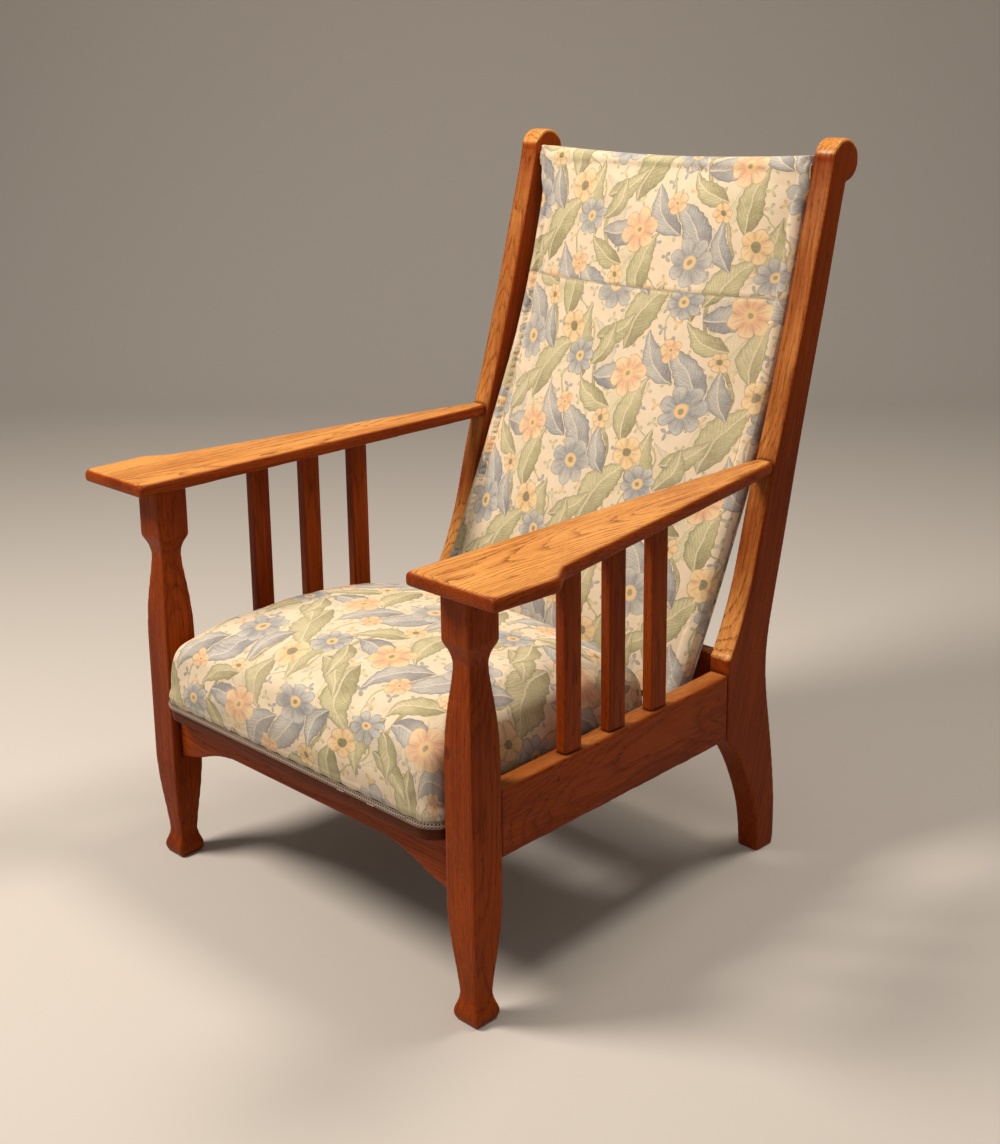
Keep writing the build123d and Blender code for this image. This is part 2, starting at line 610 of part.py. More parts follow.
with BuildSketch(Plane.XY.offset(frame_bottom)) as frame_plan:
    with BuildLine():
        Polyline([(frame_half_front, at(frame_front_setback)), (frame_half_front, at(frame_straight)),
                  (frame_half_rear, at(frame_rear_setback)), (-frame_half_rear, at(frame_rear_setback)),
                  (-frame_half_front, at(frame_straight)), (-frame_half_front, at(frame_front_setback))], close=True)
    make_face()
    fillet(frame_plan.vertices().group_by(Axis.Y)[0], frame_corner_radius)
with BuildPart() as webbing_well:
    with BuildSketch(Plane.XY.offset(frame_top - well_depth)):
        with Locations((0.0, at((frame_front_setback + front_member_depth + frame_rear_setback
                                 - rear_member_depth) / 2))):
            Rectangle((side_member_inner + well_margin) * 2, frame_rear_setback - frame_front_setback
                      - front_member_depth - rear_member_depth + well_margin * 2)
    extrude(amount=well_depth * 2)

member_joint_front = frame_front_setback + front_member_depth
member_joint_rear = frame_rear_setback - rear_member_depth
members = {
    "seat_front_member": (-leg_outer, leg_outer, frame_front_setback - leg_size, member_joint_front),
    "seat_rear_member": (-leg_outer, leg_outer, member_joint_rear, frame_rear_setback + leg_size),
    "seat_side_member_left": (side_member_inner, leg_outer, member_joint_front, member_joint_rear),
    "seat_side_member_right": (-leg_outer, -side_member_inner, member_joint_front, member_joint_rear),
}
for name, (low_x, high_x, low_s, high_s) in members.items():
    with BuildPart() as member:
        add(extrude(frame_plan.sketch, amount=frame_top - frame_bottom, mode=Mode.PRIVATE))
        with Locations(((low_x + high_x) / 2, at((low_s + high_s) / 2), (frame_top + frame_bottom) / 2)):
            Box(high_x - low_x, high_s - low_s, frame_top, mode=Mode.INTERSECT)
        add(webbing_well.part, mode=Mode.SUBTRACT)
        if name == "seat_front_member":
            soften(member, member.edges().filter_by(lambda e: e.center().Y < at(frame_front_setback / 2)).filter_by(
                lambda e: e.center().Z < frame_bottom + fine_arris), fine_arris)
    member.part.label = name
    export_step(member.part, f"parts/{name}.step")

for side, sign in sides:
    with BuildPart() as guide:
        with Locations((sign * (runner_inner - guide_gap - guide_thickness / 2),
                        at((guide_front_setback + guide_rear_setback) / 2), frame_bottom - guide_drop / 2)):
            Box(guide_thickness, guide_rear_setback - guide_front_setback, guide_drop)
        fillet(guide.edges().filter_by(Axis.Y).group_by(Axis.Z)[0], fine_arris)
    guide.part.label = f"seat_guide_{side}"
    export_step(guide.part, f"parts/seat_guide_{side}.step")

# ---------------------------------------------------------------- seat webbing and under-cover
well_floor = frame_top - well_depth
opening_depth = member_joint_rear - member_joint_front
with BuildPart() as lengthwise:
    with BuildSketch(Plane.XY.offset(well_floor)):
        with Locations((0.0, at((member_joint_front + member_joint_rear) / 2))):
            with GridLocations(side_member_inner * 2 / lengthwise_straps, 0.0, lengthwise_straps, 1):
                Rectangle(strap_width, opening_depth + well_margin * 2)
    extrude(amount=strap_thickness)
lengthwise.part.label = "seat_webbing_lengthwise"
export_step(lengthwise.part, "parts/seat_webbing_lengthwise.step")

with BuildPart() as crosswise:
    with BuildSketch(Plane.XY.offset(well_floor + strap_thickness)):
        with Locations((0.0, at((member_joint_front + member_joint_rear) / 2))):
            with GridLocations(0.0, opening_depth / crosswise_straps, 1, crosswise_straps):
                Rectangle((side_member_inner + well_margin) * 2, strap_width)
    extrude(amount=strap_thickness)
crosswise.part.label = "seat_webbing_crosswise"
export_step(crosswise.part, "parts/seat_webbing_crosswise.step")

with BuildPart() as under_cover:
    with BuildSketch(Plane.XY.offset(frame_bottom)):
        with Locations((0.0, at((frame_front_setback + frame_rear_setback) / 2))):
            Rectangle((runner_inner - guide_gap * 2 - guide_thickness - fine_arris) * 2,
                      frame_rear_setback - frame_front_setback - well_margin * 2)
    extrude(amount=-under_cover_thickness)
under_cover.part.label = "seat_under_cover"
export_step(under_cover.part, "parts/seat_under_cover.step")

# ---------------------------------------------------------------- stuffed seat
def pull(inset, radius):
    """Return how far a rounded corner has drawn back at an inset from its side."""
    return radius - math.sqrt(radius ** 2 - (radius - inset) ** 2) if inset < radius else 0.0


shares = [1.0 - share for share in cushion_shares]
cushion_length = cushion_rear_setback - cushion_front_setback
with BuildPart() as seat_cushion:
    for share in [-share for share in shares] + [0.0] + shares[::-1]:
        # the sections fan out, so the sides follow the seat frame's taper
        taper = share * (cushion_half_rear - cushion_half)
        section = Plane(origin=(share * cushion_half, at(cushion_front_setback), 0.0),
                        x_dir=(taper, cushion_length, 0.0), z_dir=(cushion_length, -taper, 0.0))
        inset = (1.0 - abs(share)) * cushion_half
        crest = (cushion_crown - cushion_side_drop * abs(share) ** cushion_fall_share - pull(inset, cushion_edge_round))
        front = pull(inset, cushion_front_round)
        rear = cushion_length - pull(inset, cushion_rear_round)
        front_top = crest - cushion_front_fall
        rear_top = crest - cushion_rear_fall - cushion_rear_side_fall * share ** 2
        base = front + frame_front_setback - cushion_front_setback + cushion_tuck
        with BuildSketch(section):
            with BuildLine():
                over = ThreePointArc((front + cushion_shoulder, front_top),
                                     ((front + rear) / 2 - cushion_crest_ahead, crest),
                                     (rear - cushion_shoulder, rear_top))
                nose = TangentArc((front + cushion_shoulder, front_top),
                                  (front + cushion_lean, front_top - cushion_shoulder),
                                  tangent=(over % 0.0) * -1.0)
                face = TangentArc(nose @ 1.0, (base, frame_top), tangent=nose % 1.0)
                tail = TangentArc(over @ 1.0, (rear, rear_top - cushion_shoulder), tangent=over % 1.0)
                heel = Line(tail @ 1.0, (rear - cushion_tuck, frame_top))
                Line(heel @ 1.0, face @ 1.0)
            make_face()
    loft(ruled=True)
seat_cushion.part.label = "seat_cushion"
export_step(seat_cushion.part, "parts/seat_cushion.step")

with BuildPart() as braid:
    with BuildSketch(Plane.XY.offset(braid_bottom)):
        add(offset(frame_plan.sketch, amount=braid_thickness, kind=Kind.ARC, mode=Mode.PRIVATE).moved(
            Location((0.0, 0.0, -frame_bottom))))
        add(frame_plan.sketch.moved(Location((0.0, 0.0, -frame_bottom))), mode=Mode.SUBTRACT)
    extrude(amount=braid_height)
    # the braid runs round the front and both sides, and ends at the rear corners
    with Locations((0.0, at(frame_rear_setback), braid_bottom)):
        Box(leg_outer * 2, well_margin, leg_size, mode=Mode.SUBTRACT)
braid.part.label = "seat_braid"
export_step(braid.part, "parts/seat_braid.step")

# ---------------------------------------------------------------- hinged back
def band(near, far, low, high):
    """Return the side profile of a layer of the back, between two depths behind its front edge."""
    heights = [low] + [z for _, z in back_front if low + fine_arris < z < high - fine_arris] + [high]
    front = [(at(along(back_front, z) + near), z) for z in heights]
    rear = [(at(along(back_front, z) + far), z) for z in heights]
    with BuildSketch(Plane.YZ, mode=Mode.PRIVATE) as profile:
        with BuildLine():
            Polyline(front)
            Polyline(rear)
            Line(front[0], rear[0])
            Line(front[-1], rear[-1])
        make_face()
    return profile.sketch


stile_front, stile_rear = back_pad_edge, back_pad_edge + stile_depth
for side, sign in sides:
    with BuildPart() as stile:
        add(extrude(band(stile_front, stile_rear, stile_bottom, stile_top), amount=sign * stile_width,
                    mode=Mode.PRIVATE).moved(Location((sign * (back_half - stile_width), 0.0, 0.0))))
    stile.part.label = f"back_stile_{side}"
    export_step(stile.part, f"parts/back_stile_{side}.step")

with BuildPart() as bottom_rail:
    add(extrude(band(stile_front, stile_rear, stile_bottom, bottom_rail_top), amount=back_half - stile_width,
                both=True, mode=Mode.PRIVATE))
bottom_rail.part.label = "back_bottom_rail"
export_step(bottom_rail.part, "parts/back_bottom_rail.step")

with BuildPart() as top_rail:
    with Locations((0.0, at(pivot_setback), pivot_height)):
        Box(top_rail_half * 2, top_rail_size, top_rail_size)
    fillet(top_rail.edges().filter_by(Axis.X), top_rail_size / 4)
    with BuildSketch(Plane.YZ.offset(-top_rail_half)):
        with Locations((at(pivot_setback), pivot_height)):
            Circle(pin_radius)
    extrude(amount=pin_length - pin_in_post - washer_space, mode=Mode.SUBTRACT)
    with BuildSketch(Plane.YZ.offset(top_rail_half)):
        with Locations((at(pivot_setback), pivot_height)):
            Circle(pin_radius)
    extrude(amount=-(pin_length - pin_in_post - washer_space), mode=Mode.SUBTRACT)
top_rail.part.label = "back_top_rail"
export_step(top_rail.part, "parts/back_top_rail.step")

for side, sign in sides:
    with BuildPart() as pin:
        with BuildSketch(Plane.YZ.offset(sign * (post_inner + pin_in_post))):
            with Locations((at(pivot_setback), pivot_height)):
                Circle(pin_radius)
        extrude(amount=-sign * pin_length)
        chamfer(pin.edges().sort_by(Axis.X)[-1 if sign > 0 else 0], pin_radius / 8)
    pin.part.label = f"pivot_pin_{side}"
    export_step(pin.part, f"parts/pivot_pin_{side}.step")

with BuildPart() as washers:
    for side, sign in sides:
        with BuildSketch(Plane.YZ.offset(sign * (post_inner - washer_space / 2 - washer_thickness / 2))):
            with Locations((at(pivot_setback), pivot_height)):
                Circle(washer_radius)
                Circle(pin_radius + pin_running_clearance, mode=Mode.SUBTRACT)
        extrude(amount=sign * washer_thickness)
washers.part.label = "thrust_washers"
export_step(washers.part, "parts/thrust_washers.step")

with BuildPart() as back_webbing:
    strap_front = stile_front - strap_thickness
    for column in range(back_columns):
        x = (column - (back_columns - 1) / 2) * back_column_pitch
        add(extrude(band(stile_front, stile_front + strap_thickness, bottom_rail_top, stile_top - well_margin),
                    amount=strap_width, mode=Mode.PRIVATE).moved(Location((x - strap_width / 2, 0.0, 0.0))))
back_webbing.part.label = "back_webbing_upright"
export_step(back_webbing.part, "parts/back_webbing_upright.step")

with BuildPart() as back_straps:
    for row in range(back_rows):
        low = back_row_start + back_row_pitch * row
        add(extrude(band(stile_front + strap_thickness, stile_front + strap_thickness * 2, low, low + strap_width),
                    amount=back_half - stile_width, both=True, mode=Mode.PRIVATE))
back_straps.part.label = "back_webbing_level"
export_step(back_straps.part, "parts/back_webbing_level.step")

with BuildPart() as outer_cover:
    add(extrude(band(stile_rear + cover_gap, stile_rear + cover_gap + cover_thickness, stile_bottom + cover_gap,
                     pad_top), amount=back_half + fabric_thickness, both=True, mode=Mode.PRIVATE))
outer_cover.part.label = "back_outer_cover"
export_step(outer_cover.part, "parts/back_outer_cover.step")

# stuffed front of the back: level sections, each with two side flaps that lap the stiles
with BuildPart() as back_cushion:
    for share in pad_height_shares:
        height = pad_bottom + share * (pad_top - pad_bottom)
        front = along(back_front, height)
        rise = pad_crown * math.sin(math.pi * share) ** pad_crown_share + pad_crown_end
        flat = front + back_pad_edge - pad_gap
        tail = front + stile_rear
        widen = min(1.0, max(0.0, (height - pad_wide_start) / (pad_wide_end - pad_wide_start)))
        half = back_half + fabric_thickness + (pad_wide_half - back_half - fabric_thickness) * widen
        with BuildSketch(Plane.XY.offset(height)):
            with BuildLine():
                Polyline([(-half + pad_corner, at(front)), (-half, at(front + pad_corner)), (-half, at(tail)),
                          (-back_half - flap_gap, at(tail)), (-back_half - flap_gap, at(flat)),
                          (back_half + flap_gap, at(flat)), (back_half + flap_gap, at(tail)), (half, at(tail)),
                          (half, at(front + pad_corner)), (half - pad_corner, at(front))])
                ThreePointArc((half - pad_corner, at(front)), (0.0, at(front - rise)), (-half + pad_corner, at(front)))
            make_face()
    loft(ruled=True)
back_cushion.part.label = "back_cushion"
export_step(back_cushion.part, "parts/back_cushion.step")

# padded roll over the top rail: stadium sections that dip at mid width
with BuildPart() as top_roll:
    for share in roll_shares:
        rise = roll_rise_middle + (roll_rise_end - roll_rise_middle) * abs(share) ** roll_power_share
        with BuildSketch(Plane.YZ.offset(share * roll_half)):
            with BuildLine():
                low_z = pivot_height - roll_drop
                high_z = pivot_height + rise
                front_y, back_y = at(pivot_setback - roll_depth), at(pivot_setback + roll_depth)
                mid_z = pivot_height
                Line((front_y, low_z), (back_y, low_z))
                Line((back_y, low_z), (back_y, mid_z))
                ThreePointArc((back_y, mid_z), (at(pivot_setback), high_z), (front_y, mid_z))
                Line((front_y, mid_z), (front_y, low_z))
            make_face()
    loft()
    with Locations((0.0, at(pivot_setback), pivot_height)):
        Box(top_rail_half * 2 + leg_size, top_rail_size + roll_play * 2, top_rail_size + roll_play * 2,
            mode=Mode.SUBTRACT)
top_roll.part.label = "back_top_roll"
export_step(top_roll.part, "parts/back_top_roll.step")

# ---------------------------------------------------------------- links between seat and back
for side, sign in sides:
    with BuildPart() as plate:
        with BuildSketch(Plane.YZ.offset(sign * link_x - plate_thickness / 2)):
            with BuildLine():
                Polyline([(at(frame_rear_setback), plate_bottom), (at(frame_rear_setback + plate_foot), plate_bottom),
                          (at(link_setback + plate_depth / 2), slot_low - plate_depth / 4),
                          (at(link_setback + plate_depth / 2), plate_top),
                          (at(link_setback - plate_depth / 2 + plate_foot), plate_top),
                          (at(link_setback - plate_depth / 2 + plate_foot), frame_top),
                          (at(frame_rear_setback), frame_top)], close=True)
            make_face()
        extrude(amount=plate_thickness)
        with Locations((sign * link_x, at(frame_rear_setback + plate_foot / 2), (frame_top + plate_bottom) / 2)):
            Box(plate_foot_width, plate_foot, frame_top - plate_bottom)
        with Locations((sign * link_x, at(link_setback), (slot_low + slot_high) / 2)):
            Box(plate_thickness * 2, (link_radius + link_slack) * 2, slot_high - slot_low, mode=Mode.SUBTRACT)
        with BuildSketch(Plane.XZ.offset(-at(frame_rear_setback))):
            with Locations((sign * link_x, (frame_top + plate_bottom) / 2)):
                with GridLocations(link_screw_pitch, 0.0, 2, 1):
                    Circle(screw_radius + pin_running_clearance)
        extrude(amount=-plate_foot * 2, mode=Mode.SUBTRACT)
    plate.part.label = f"slot_plate_{side}"
    export_step(plate.part, f"parts/slot_plate_{side}.step")

    with BuildPart() as bracket:
        for ear in (-1, 1):
            inner_x = sign * link_x + ear * (plate_thickness / 2 + ear_gap + ear_thickness / 2)
            with BuildSketch(Plane.YZ.offset(inner_x - ear_thickness / 2)):
                with BuildLine():
                    Polyline([(at(ear_front), ear_nose_top), (at(ear_nose_rear), ear_nose_top),
                              (at(ear_slope), stile_bottom - pin_running_clearance),
                              (at(ear_rear), stile_bottom - pin_running_clearance), (at(ear_rear), ear_bottom),
                              (at(ear_front), ear_bottom)], close=True)
                make_face()
            extrude(amount=ear_thickness)
        flange_front = ear_slope
        with Locations((sign * link_x, at((flange_front + ear_rear) / 2),
                        stile_bottom - pin_running_clearance - bracket_flange / 2)):
            Box(bracket_width, ear_rear - flange_front, bracket_flange)
        with BuildSketch(Plane.XY.offset(stile_bottom - bracket_flange * 2)):
            with Locations((sign * link_x, at((flange_front + ear_rear) / 2))):
                with GridLocations(bracket_screw_pitch, 0.0, 2, 1):
                    Circle(screw_radius + pin_running_clearance)
        extrude(amount=bracket_flange * 3, mode=Mode.SUBTRACT)
        with BuildSketch(Plane.YZ.offset(sign * link_x - link_pin_length / 2)):
            with Locations((at(link_setback), link_height)):
                Circle(link_radius)
        extrude(amount=link_pin_length)
    bracket.part.label = f"link_bracket_{side}"
    export_step(bracket.part, f"parts/link_bracket_{side}.step")

with BuildPart() as plate_screws:
    for side, sign in sides:
        for ear in (-1, 1):
            face = Plane(origin=(sign * link_x + ear * link_screw_pitch / 2, at(frame_rear_setback + plate_foot),
                                 (frame_top + plate_bottom) / 2), x_dir=(1.0, 0.0, 0.0), z_dir=(0.0, -1.0, 0.0))
            with BuildSketch(face):
                Circle(screw_radius)
            extrude(amount=link_screw_length)
            with BuildSketch(face.offset(-screw_head_height)):
                Circle(screw_head_radius)
            extrude(amount=screw_head_height)
plate_screws.part.label = "slot_plate_screws"
export_step(plate_screws.part, "parts/slot_plate_screws.step")

with BuildPart() as bracket_screws:
    for side, sign in sides:
        for ear in (-1, 1):
            face = Plane(origin=(sign * link_x + ear * bracket_screw_pitch / 2, at((ear_slope + ear_rear) / 2),
                                 stile_bottom - pin_running_clearance - bracket_flange),
                         x_dir=(1.0, 0.0, 0.0), z_dir=(0.0, 0.0, 1.0))
            with BuildSketch(face):
                Circle(screw_radius)
            extrude(amount=link_screw_length)
            with BuildSketch(face.offset(-screw_head_height)):
                Circle(screw_head_radius)
            extrude(amount=screw_head_height)
bracket_screws.part.label = "link_bracket_screws"
export_step(bracket_screws.part, "parts/link_bracket_screws.step")
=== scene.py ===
"""Looks of a reclining easy chair in waxed oak and printed linen, built round its packed frame.

Lengths are in metres, in the chair's own frame: +X is the sitter's left, +Y is the back and +Z is up.
"""
from __future__ import annotations

import logging
import math
from collections.abc import Callable
from dataclasses import dataclass, field
from enum import Enum

import bmesh
import bpy
import numpy as np
from mathutils import Matrix, Vector
from mathutils.bvhtree import BVHTree


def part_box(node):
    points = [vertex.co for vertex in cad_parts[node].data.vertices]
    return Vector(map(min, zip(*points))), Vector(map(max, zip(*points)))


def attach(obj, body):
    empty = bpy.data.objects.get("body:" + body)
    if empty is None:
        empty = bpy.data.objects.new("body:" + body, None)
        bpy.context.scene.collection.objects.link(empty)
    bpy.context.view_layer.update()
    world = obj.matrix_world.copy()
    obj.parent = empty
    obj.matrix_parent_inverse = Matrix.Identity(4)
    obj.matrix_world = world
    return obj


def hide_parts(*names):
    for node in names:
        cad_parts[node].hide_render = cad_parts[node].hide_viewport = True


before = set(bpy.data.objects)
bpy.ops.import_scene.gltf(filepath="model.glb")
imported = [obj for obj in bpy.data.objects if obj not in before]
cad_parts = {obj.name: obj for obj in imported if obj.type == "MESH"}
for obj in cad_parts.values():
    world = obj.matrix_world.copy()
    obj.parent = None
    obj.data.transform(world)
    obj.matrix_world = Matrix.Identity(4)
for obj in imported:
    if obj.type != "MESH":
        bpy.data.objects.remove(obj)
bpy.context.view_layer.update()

log = logging.getLogger("chair")

Colour = tuple[float, float, float]
Place = tuple[float, float, float]
LEG_FRONT = -0.3906          # y of the front legs' front faces


# ------------------------------------------------------------------ shader expressions
def math_method(operation: str, meaning: str) -> Callable[..., "Num"]:
    """Return a method that adds one Math node.

    Args:
        operation: the node's operation.
        meaning: the method's docstring.

    Returns:
        The method, which takes the node's further operands.
    """
    def method(self: "Num", *others: "Num | float") -> "Num":
        inputs = dict(enumerate((self, *others)))
        return Num(self.graph, self.graph.node("ShaderNodeMath", {"operation": operation}, inputs))

    method.__doc__ = meaning
    return method


class Num:
    """A number in a material's node tree, usable in Python expressions."""

    __add__ = __radd__ = math_method("ADD", "Return the sum.")
    __sub__ = math_method("SUBTRACT", "Return the difference.")
    __mul__ = __rmul__ = math_method("MULTIPLY", "Return the product.")
    __truediv__ = math_method("DIVIDE", "Return the quotient.")
    __pow__ = math_method("POWER", "Return the power.")
    __abs__ = math_method("ABSOLUTE", "Return the size without its sign.")
    times_plus = math_method("MULTIPLY_ADD", "Return the product with the first operand, plus the second.")
    at_least = math_method("MAXIMUM", "Return the larger of two numbers.")
    at_most = math_method("MINIMUM", "Return the smaller of two numbers.")
    root = math_method("SQRT", "Return the square root.")
    sine = math_method("SINE", "Return the sine of an angle in radians.")
    cosine = math_method("COSINE", "Return the cosine of an angle in radians.")
    nearest = math_method("ROUND", "Return the nearest whole number.")
    fraction = math_method("FRACT", "Return the part after the point.")
    angle_to = math_method("ARCTAN2", "Return the angle of the point (other, self).")

    def __init__(self, graph: "Graph", socket: bpy.types.NodeSocket) -> None:
        """Keep the tree and the socket that carries the number."""
        self.graph = graph
        self.socket = socket

    def __rsub__(self, other: float) -> "Num":
        """Return a number less this one."""
        return self.times_plus(-1.0, other)

    def step(self, low: float, high: float) -> "Num":
        """Return a soft step from 0 at low to 1 at high, or the other way if low is larger.

        Args:
            low: where the step is 0.
            high: where the step is 1.

        Returns:
            The step's value.
        """
        flip = low > high
        lo, hi = (high, low) if flip else (low, high)
        ends = (1.0, 0.0) if flip else (0.0, 1.0)
        socket = self.graph.node("ShaderNodeMapRange", {"interpolation_type": "SMOOTHSTEP"},
                                 {0: self, 1: lo, 2: hi, 3: ends[0], 4: ends[1]})
        return Num(self.graph, socket)


class Vec:
    """A vector or a colour in a material's node tree."""

    def __init__(self, graph: "Graph", socket: bpy.types.NodeSocket) -> None:
        """Keep the tree and the socket that carries the vector."""
        self.graph = graph
        self.socket = socket
        self._parts: list[Num] | None = None

    def __mul__(self, other: "tuple[float, float, float] | Vec") -> "Vec":
        """Return the product, part by part."""
        return Vec(self.graph, self.graph.node("ShaderNodeVectorMath", {"operation": "MULTIPLY"}, {0: self, 1: other}))

    def __add__(self, other: "tuple[float, float, float] | Vec") -> "Vec":
        """Return the sum, part by part."""
        return Vec(self.graph, self.graph.node("ShaderNodeVectorMath", {"operation": "ADD"}, {0: self, 1: other}))

    def part(self, index: int) -> Num:
        """Return one part of the vector."""
        if self._parts is None:
            node = self.graph.raw("ShaderNodeSeparateXYZ", {}, {0: self})
            self._parts = [Num(self.graph, out) for out in node.outputs]
        return self._parts[index]


class Graph:
    """The node tree of one material."""

    def __init__(self, name: str) -> None:
        """Start an empty tree with an output."""
        self.material = bpy.data.materials.new(f"{name}_finish")
        self.material.use_nodes = True
        self.tree = self.material.node_tree
        self.tree.nodes.clear()
        self.output = self.tree.nodes.new("ShaderNodeOutputMaterial")

    def raw(self, kind: str, settings: dict[str, object], inputs: dict[int | str, object]) -> bpy.types.Node:
        """Add a node, with its settings made before its inputs.

        Args:
            kind: the node's type.
            settings: attributes to set on the node.
            inputs: values or links, by socket number or name.

        Returns:
            The node.
        """
        node = self.tree.nodes.new(kind)
        for key, value in settings.items():
            setattr(node, key, value)
        for key, value in inputs.items():
            socket = node.inputs[key]
            if isinstance(value, (Num, Vec)):
                self.tree.links.new(value.socket, socket)
            elif isinstance(value, tuple) and len(value) == 3 and len(socket.default_value) == 4:
                socket.default_value = (*value, 1.0)
            else:
                socket.default_value = value
        return node

    def node(self, kind: str, settings: dict[str, object], inputs: dict[int | str, object],
             output: int | str = 0) -> bpy.types.NodeSocket:
        """Add a node and return one of its outputs.

        Args:
            kind: the node's type.
            settings: attributes to set on the node.
            inputs: values or links, by socket number or name.
            output: the output's number or name.

        Returns:
            The output socket.
        """
        return self.raw(kind, settings, inputs).outputs[output]

    def attribute(self, name: str) -> Vec:
        """Return a vector attribute of the mesh."""
        return Vec(self, self.node("ShaderNodeAttribute", {"attribute_name": name}, {}, "Vector"))

    def amount(self, name: str) -> Num:
        """Return a number attribute of the mesh."""
        return Num(self, self.node("ShaderNodeAttribute", {"attribute_name": name}, {}, "Fac"))

    def place(self) -> Vec:
        """Return the surface's place in the chair's frame."""
        return Vec(self, self.node("ShaderNodeTexCoord", {}, {}, "Object"))

    def noise(self, vector: Vec, stretch: float | Place, detail: float = 2.0, distortion: float = 0.0) -> Num:
        """Return a noise field.

        Args:
            vector: where it is read.
            stretch: features per metre, all over or along each part of the vector.
            detail: octaves.
            distortion: how far the field is pushed about.

        Returns:
            The field, about 0 to 1.
        """
        stretched = vector * ((stretch,) * 3 if isinstance(stretch, float) else stretch)
        return Num(self, self.node("ShaderNodeTexNoise", {}, {"Vector": stretched, "Scale": 1.0,
                                                              "Detail": detail, "Distortion": distortion}))

    def random(self, a: Num, b: Num) -> Vec:
        """Return three even random numbers for a pair of numbers."""
        joined = self.join(a, b, 0.0)
        return Vec(self, self.node("ShaderNodeTexWhiteNoise", {"noise_dimensions": "3D"}, {"Vector": joined}, "Color"))

    def join(self, x: "Num | float", y: "Num | float", z: "Num | float") -> Vec:
        """Return a vector of three numbers."""
        return Vec(self, self.node("ShaderNodeCombineXYZ", {}, {0: x, 1: y, 2: z}))

    def mix(self, share: "Num | float", first: "Vec | Colour", second: "Vec | Colour") -> Vec:
        """Return a blend of two colours.

        Args:
            share: how much of the second one.
            first: the colour at 0.
            second: the colour at 1.

        Returns:
            The blended colour.
        """
        node = self.tree.nodes.new("ShaderNodeMix")
        node.data_type = "RGBA"
        sockets = {s.identifier: s for s in node.inputs}
        for key, value in (("Factor_Float", share), ("A_Color", first), ("B_Color", second)):
            if isinstance(value, (Num, Vec)):
                self.tree.links.new(value.socket, sockets[key])
            elif isinstance(value, tuple):
                sockets[key].default_value = (*value, 1.0)
            else:
                sockets[key].default_value = value
        return Vec(self, next(s for s in node.outputs if s.identifier == "Result_Color"))

    def finish(self, colour: "Vec | Colour", roughness: "Num | float", height: "Num | None" = None,
               depth: float = 0.0002, **fixed: object) -> bpy.types.Material:
        """Close the tree with a Principled shader.

        Args:
            colour: the base colour.
            roughness: the roughness.
            height: a field for the bump, if any.
            depth: the bump's depth.
            fixed: further sockets by name, with _ for a space.

        Returns:
            The material.
        """
        inputs: dict[int | str, object] = {"Base Color": colour, "Roughness": roughness}
        inputs.update({key.replace("_", " "): value for key, value in fixed.items()})
        shader = self.raw("ShaderNodeBsdfPrincipled", {}, inputs)
        if height is not None:
            bump = self.node("ShaderNodeBump", {}, {"Strength": 1.0, "Distance": depth, "Height": height})
            self.tree.links.new(bump, shader.inputs["Normal"])
        self.tree.links.new(shader.outputs[0], self.output.inputs[0])
        return self.material


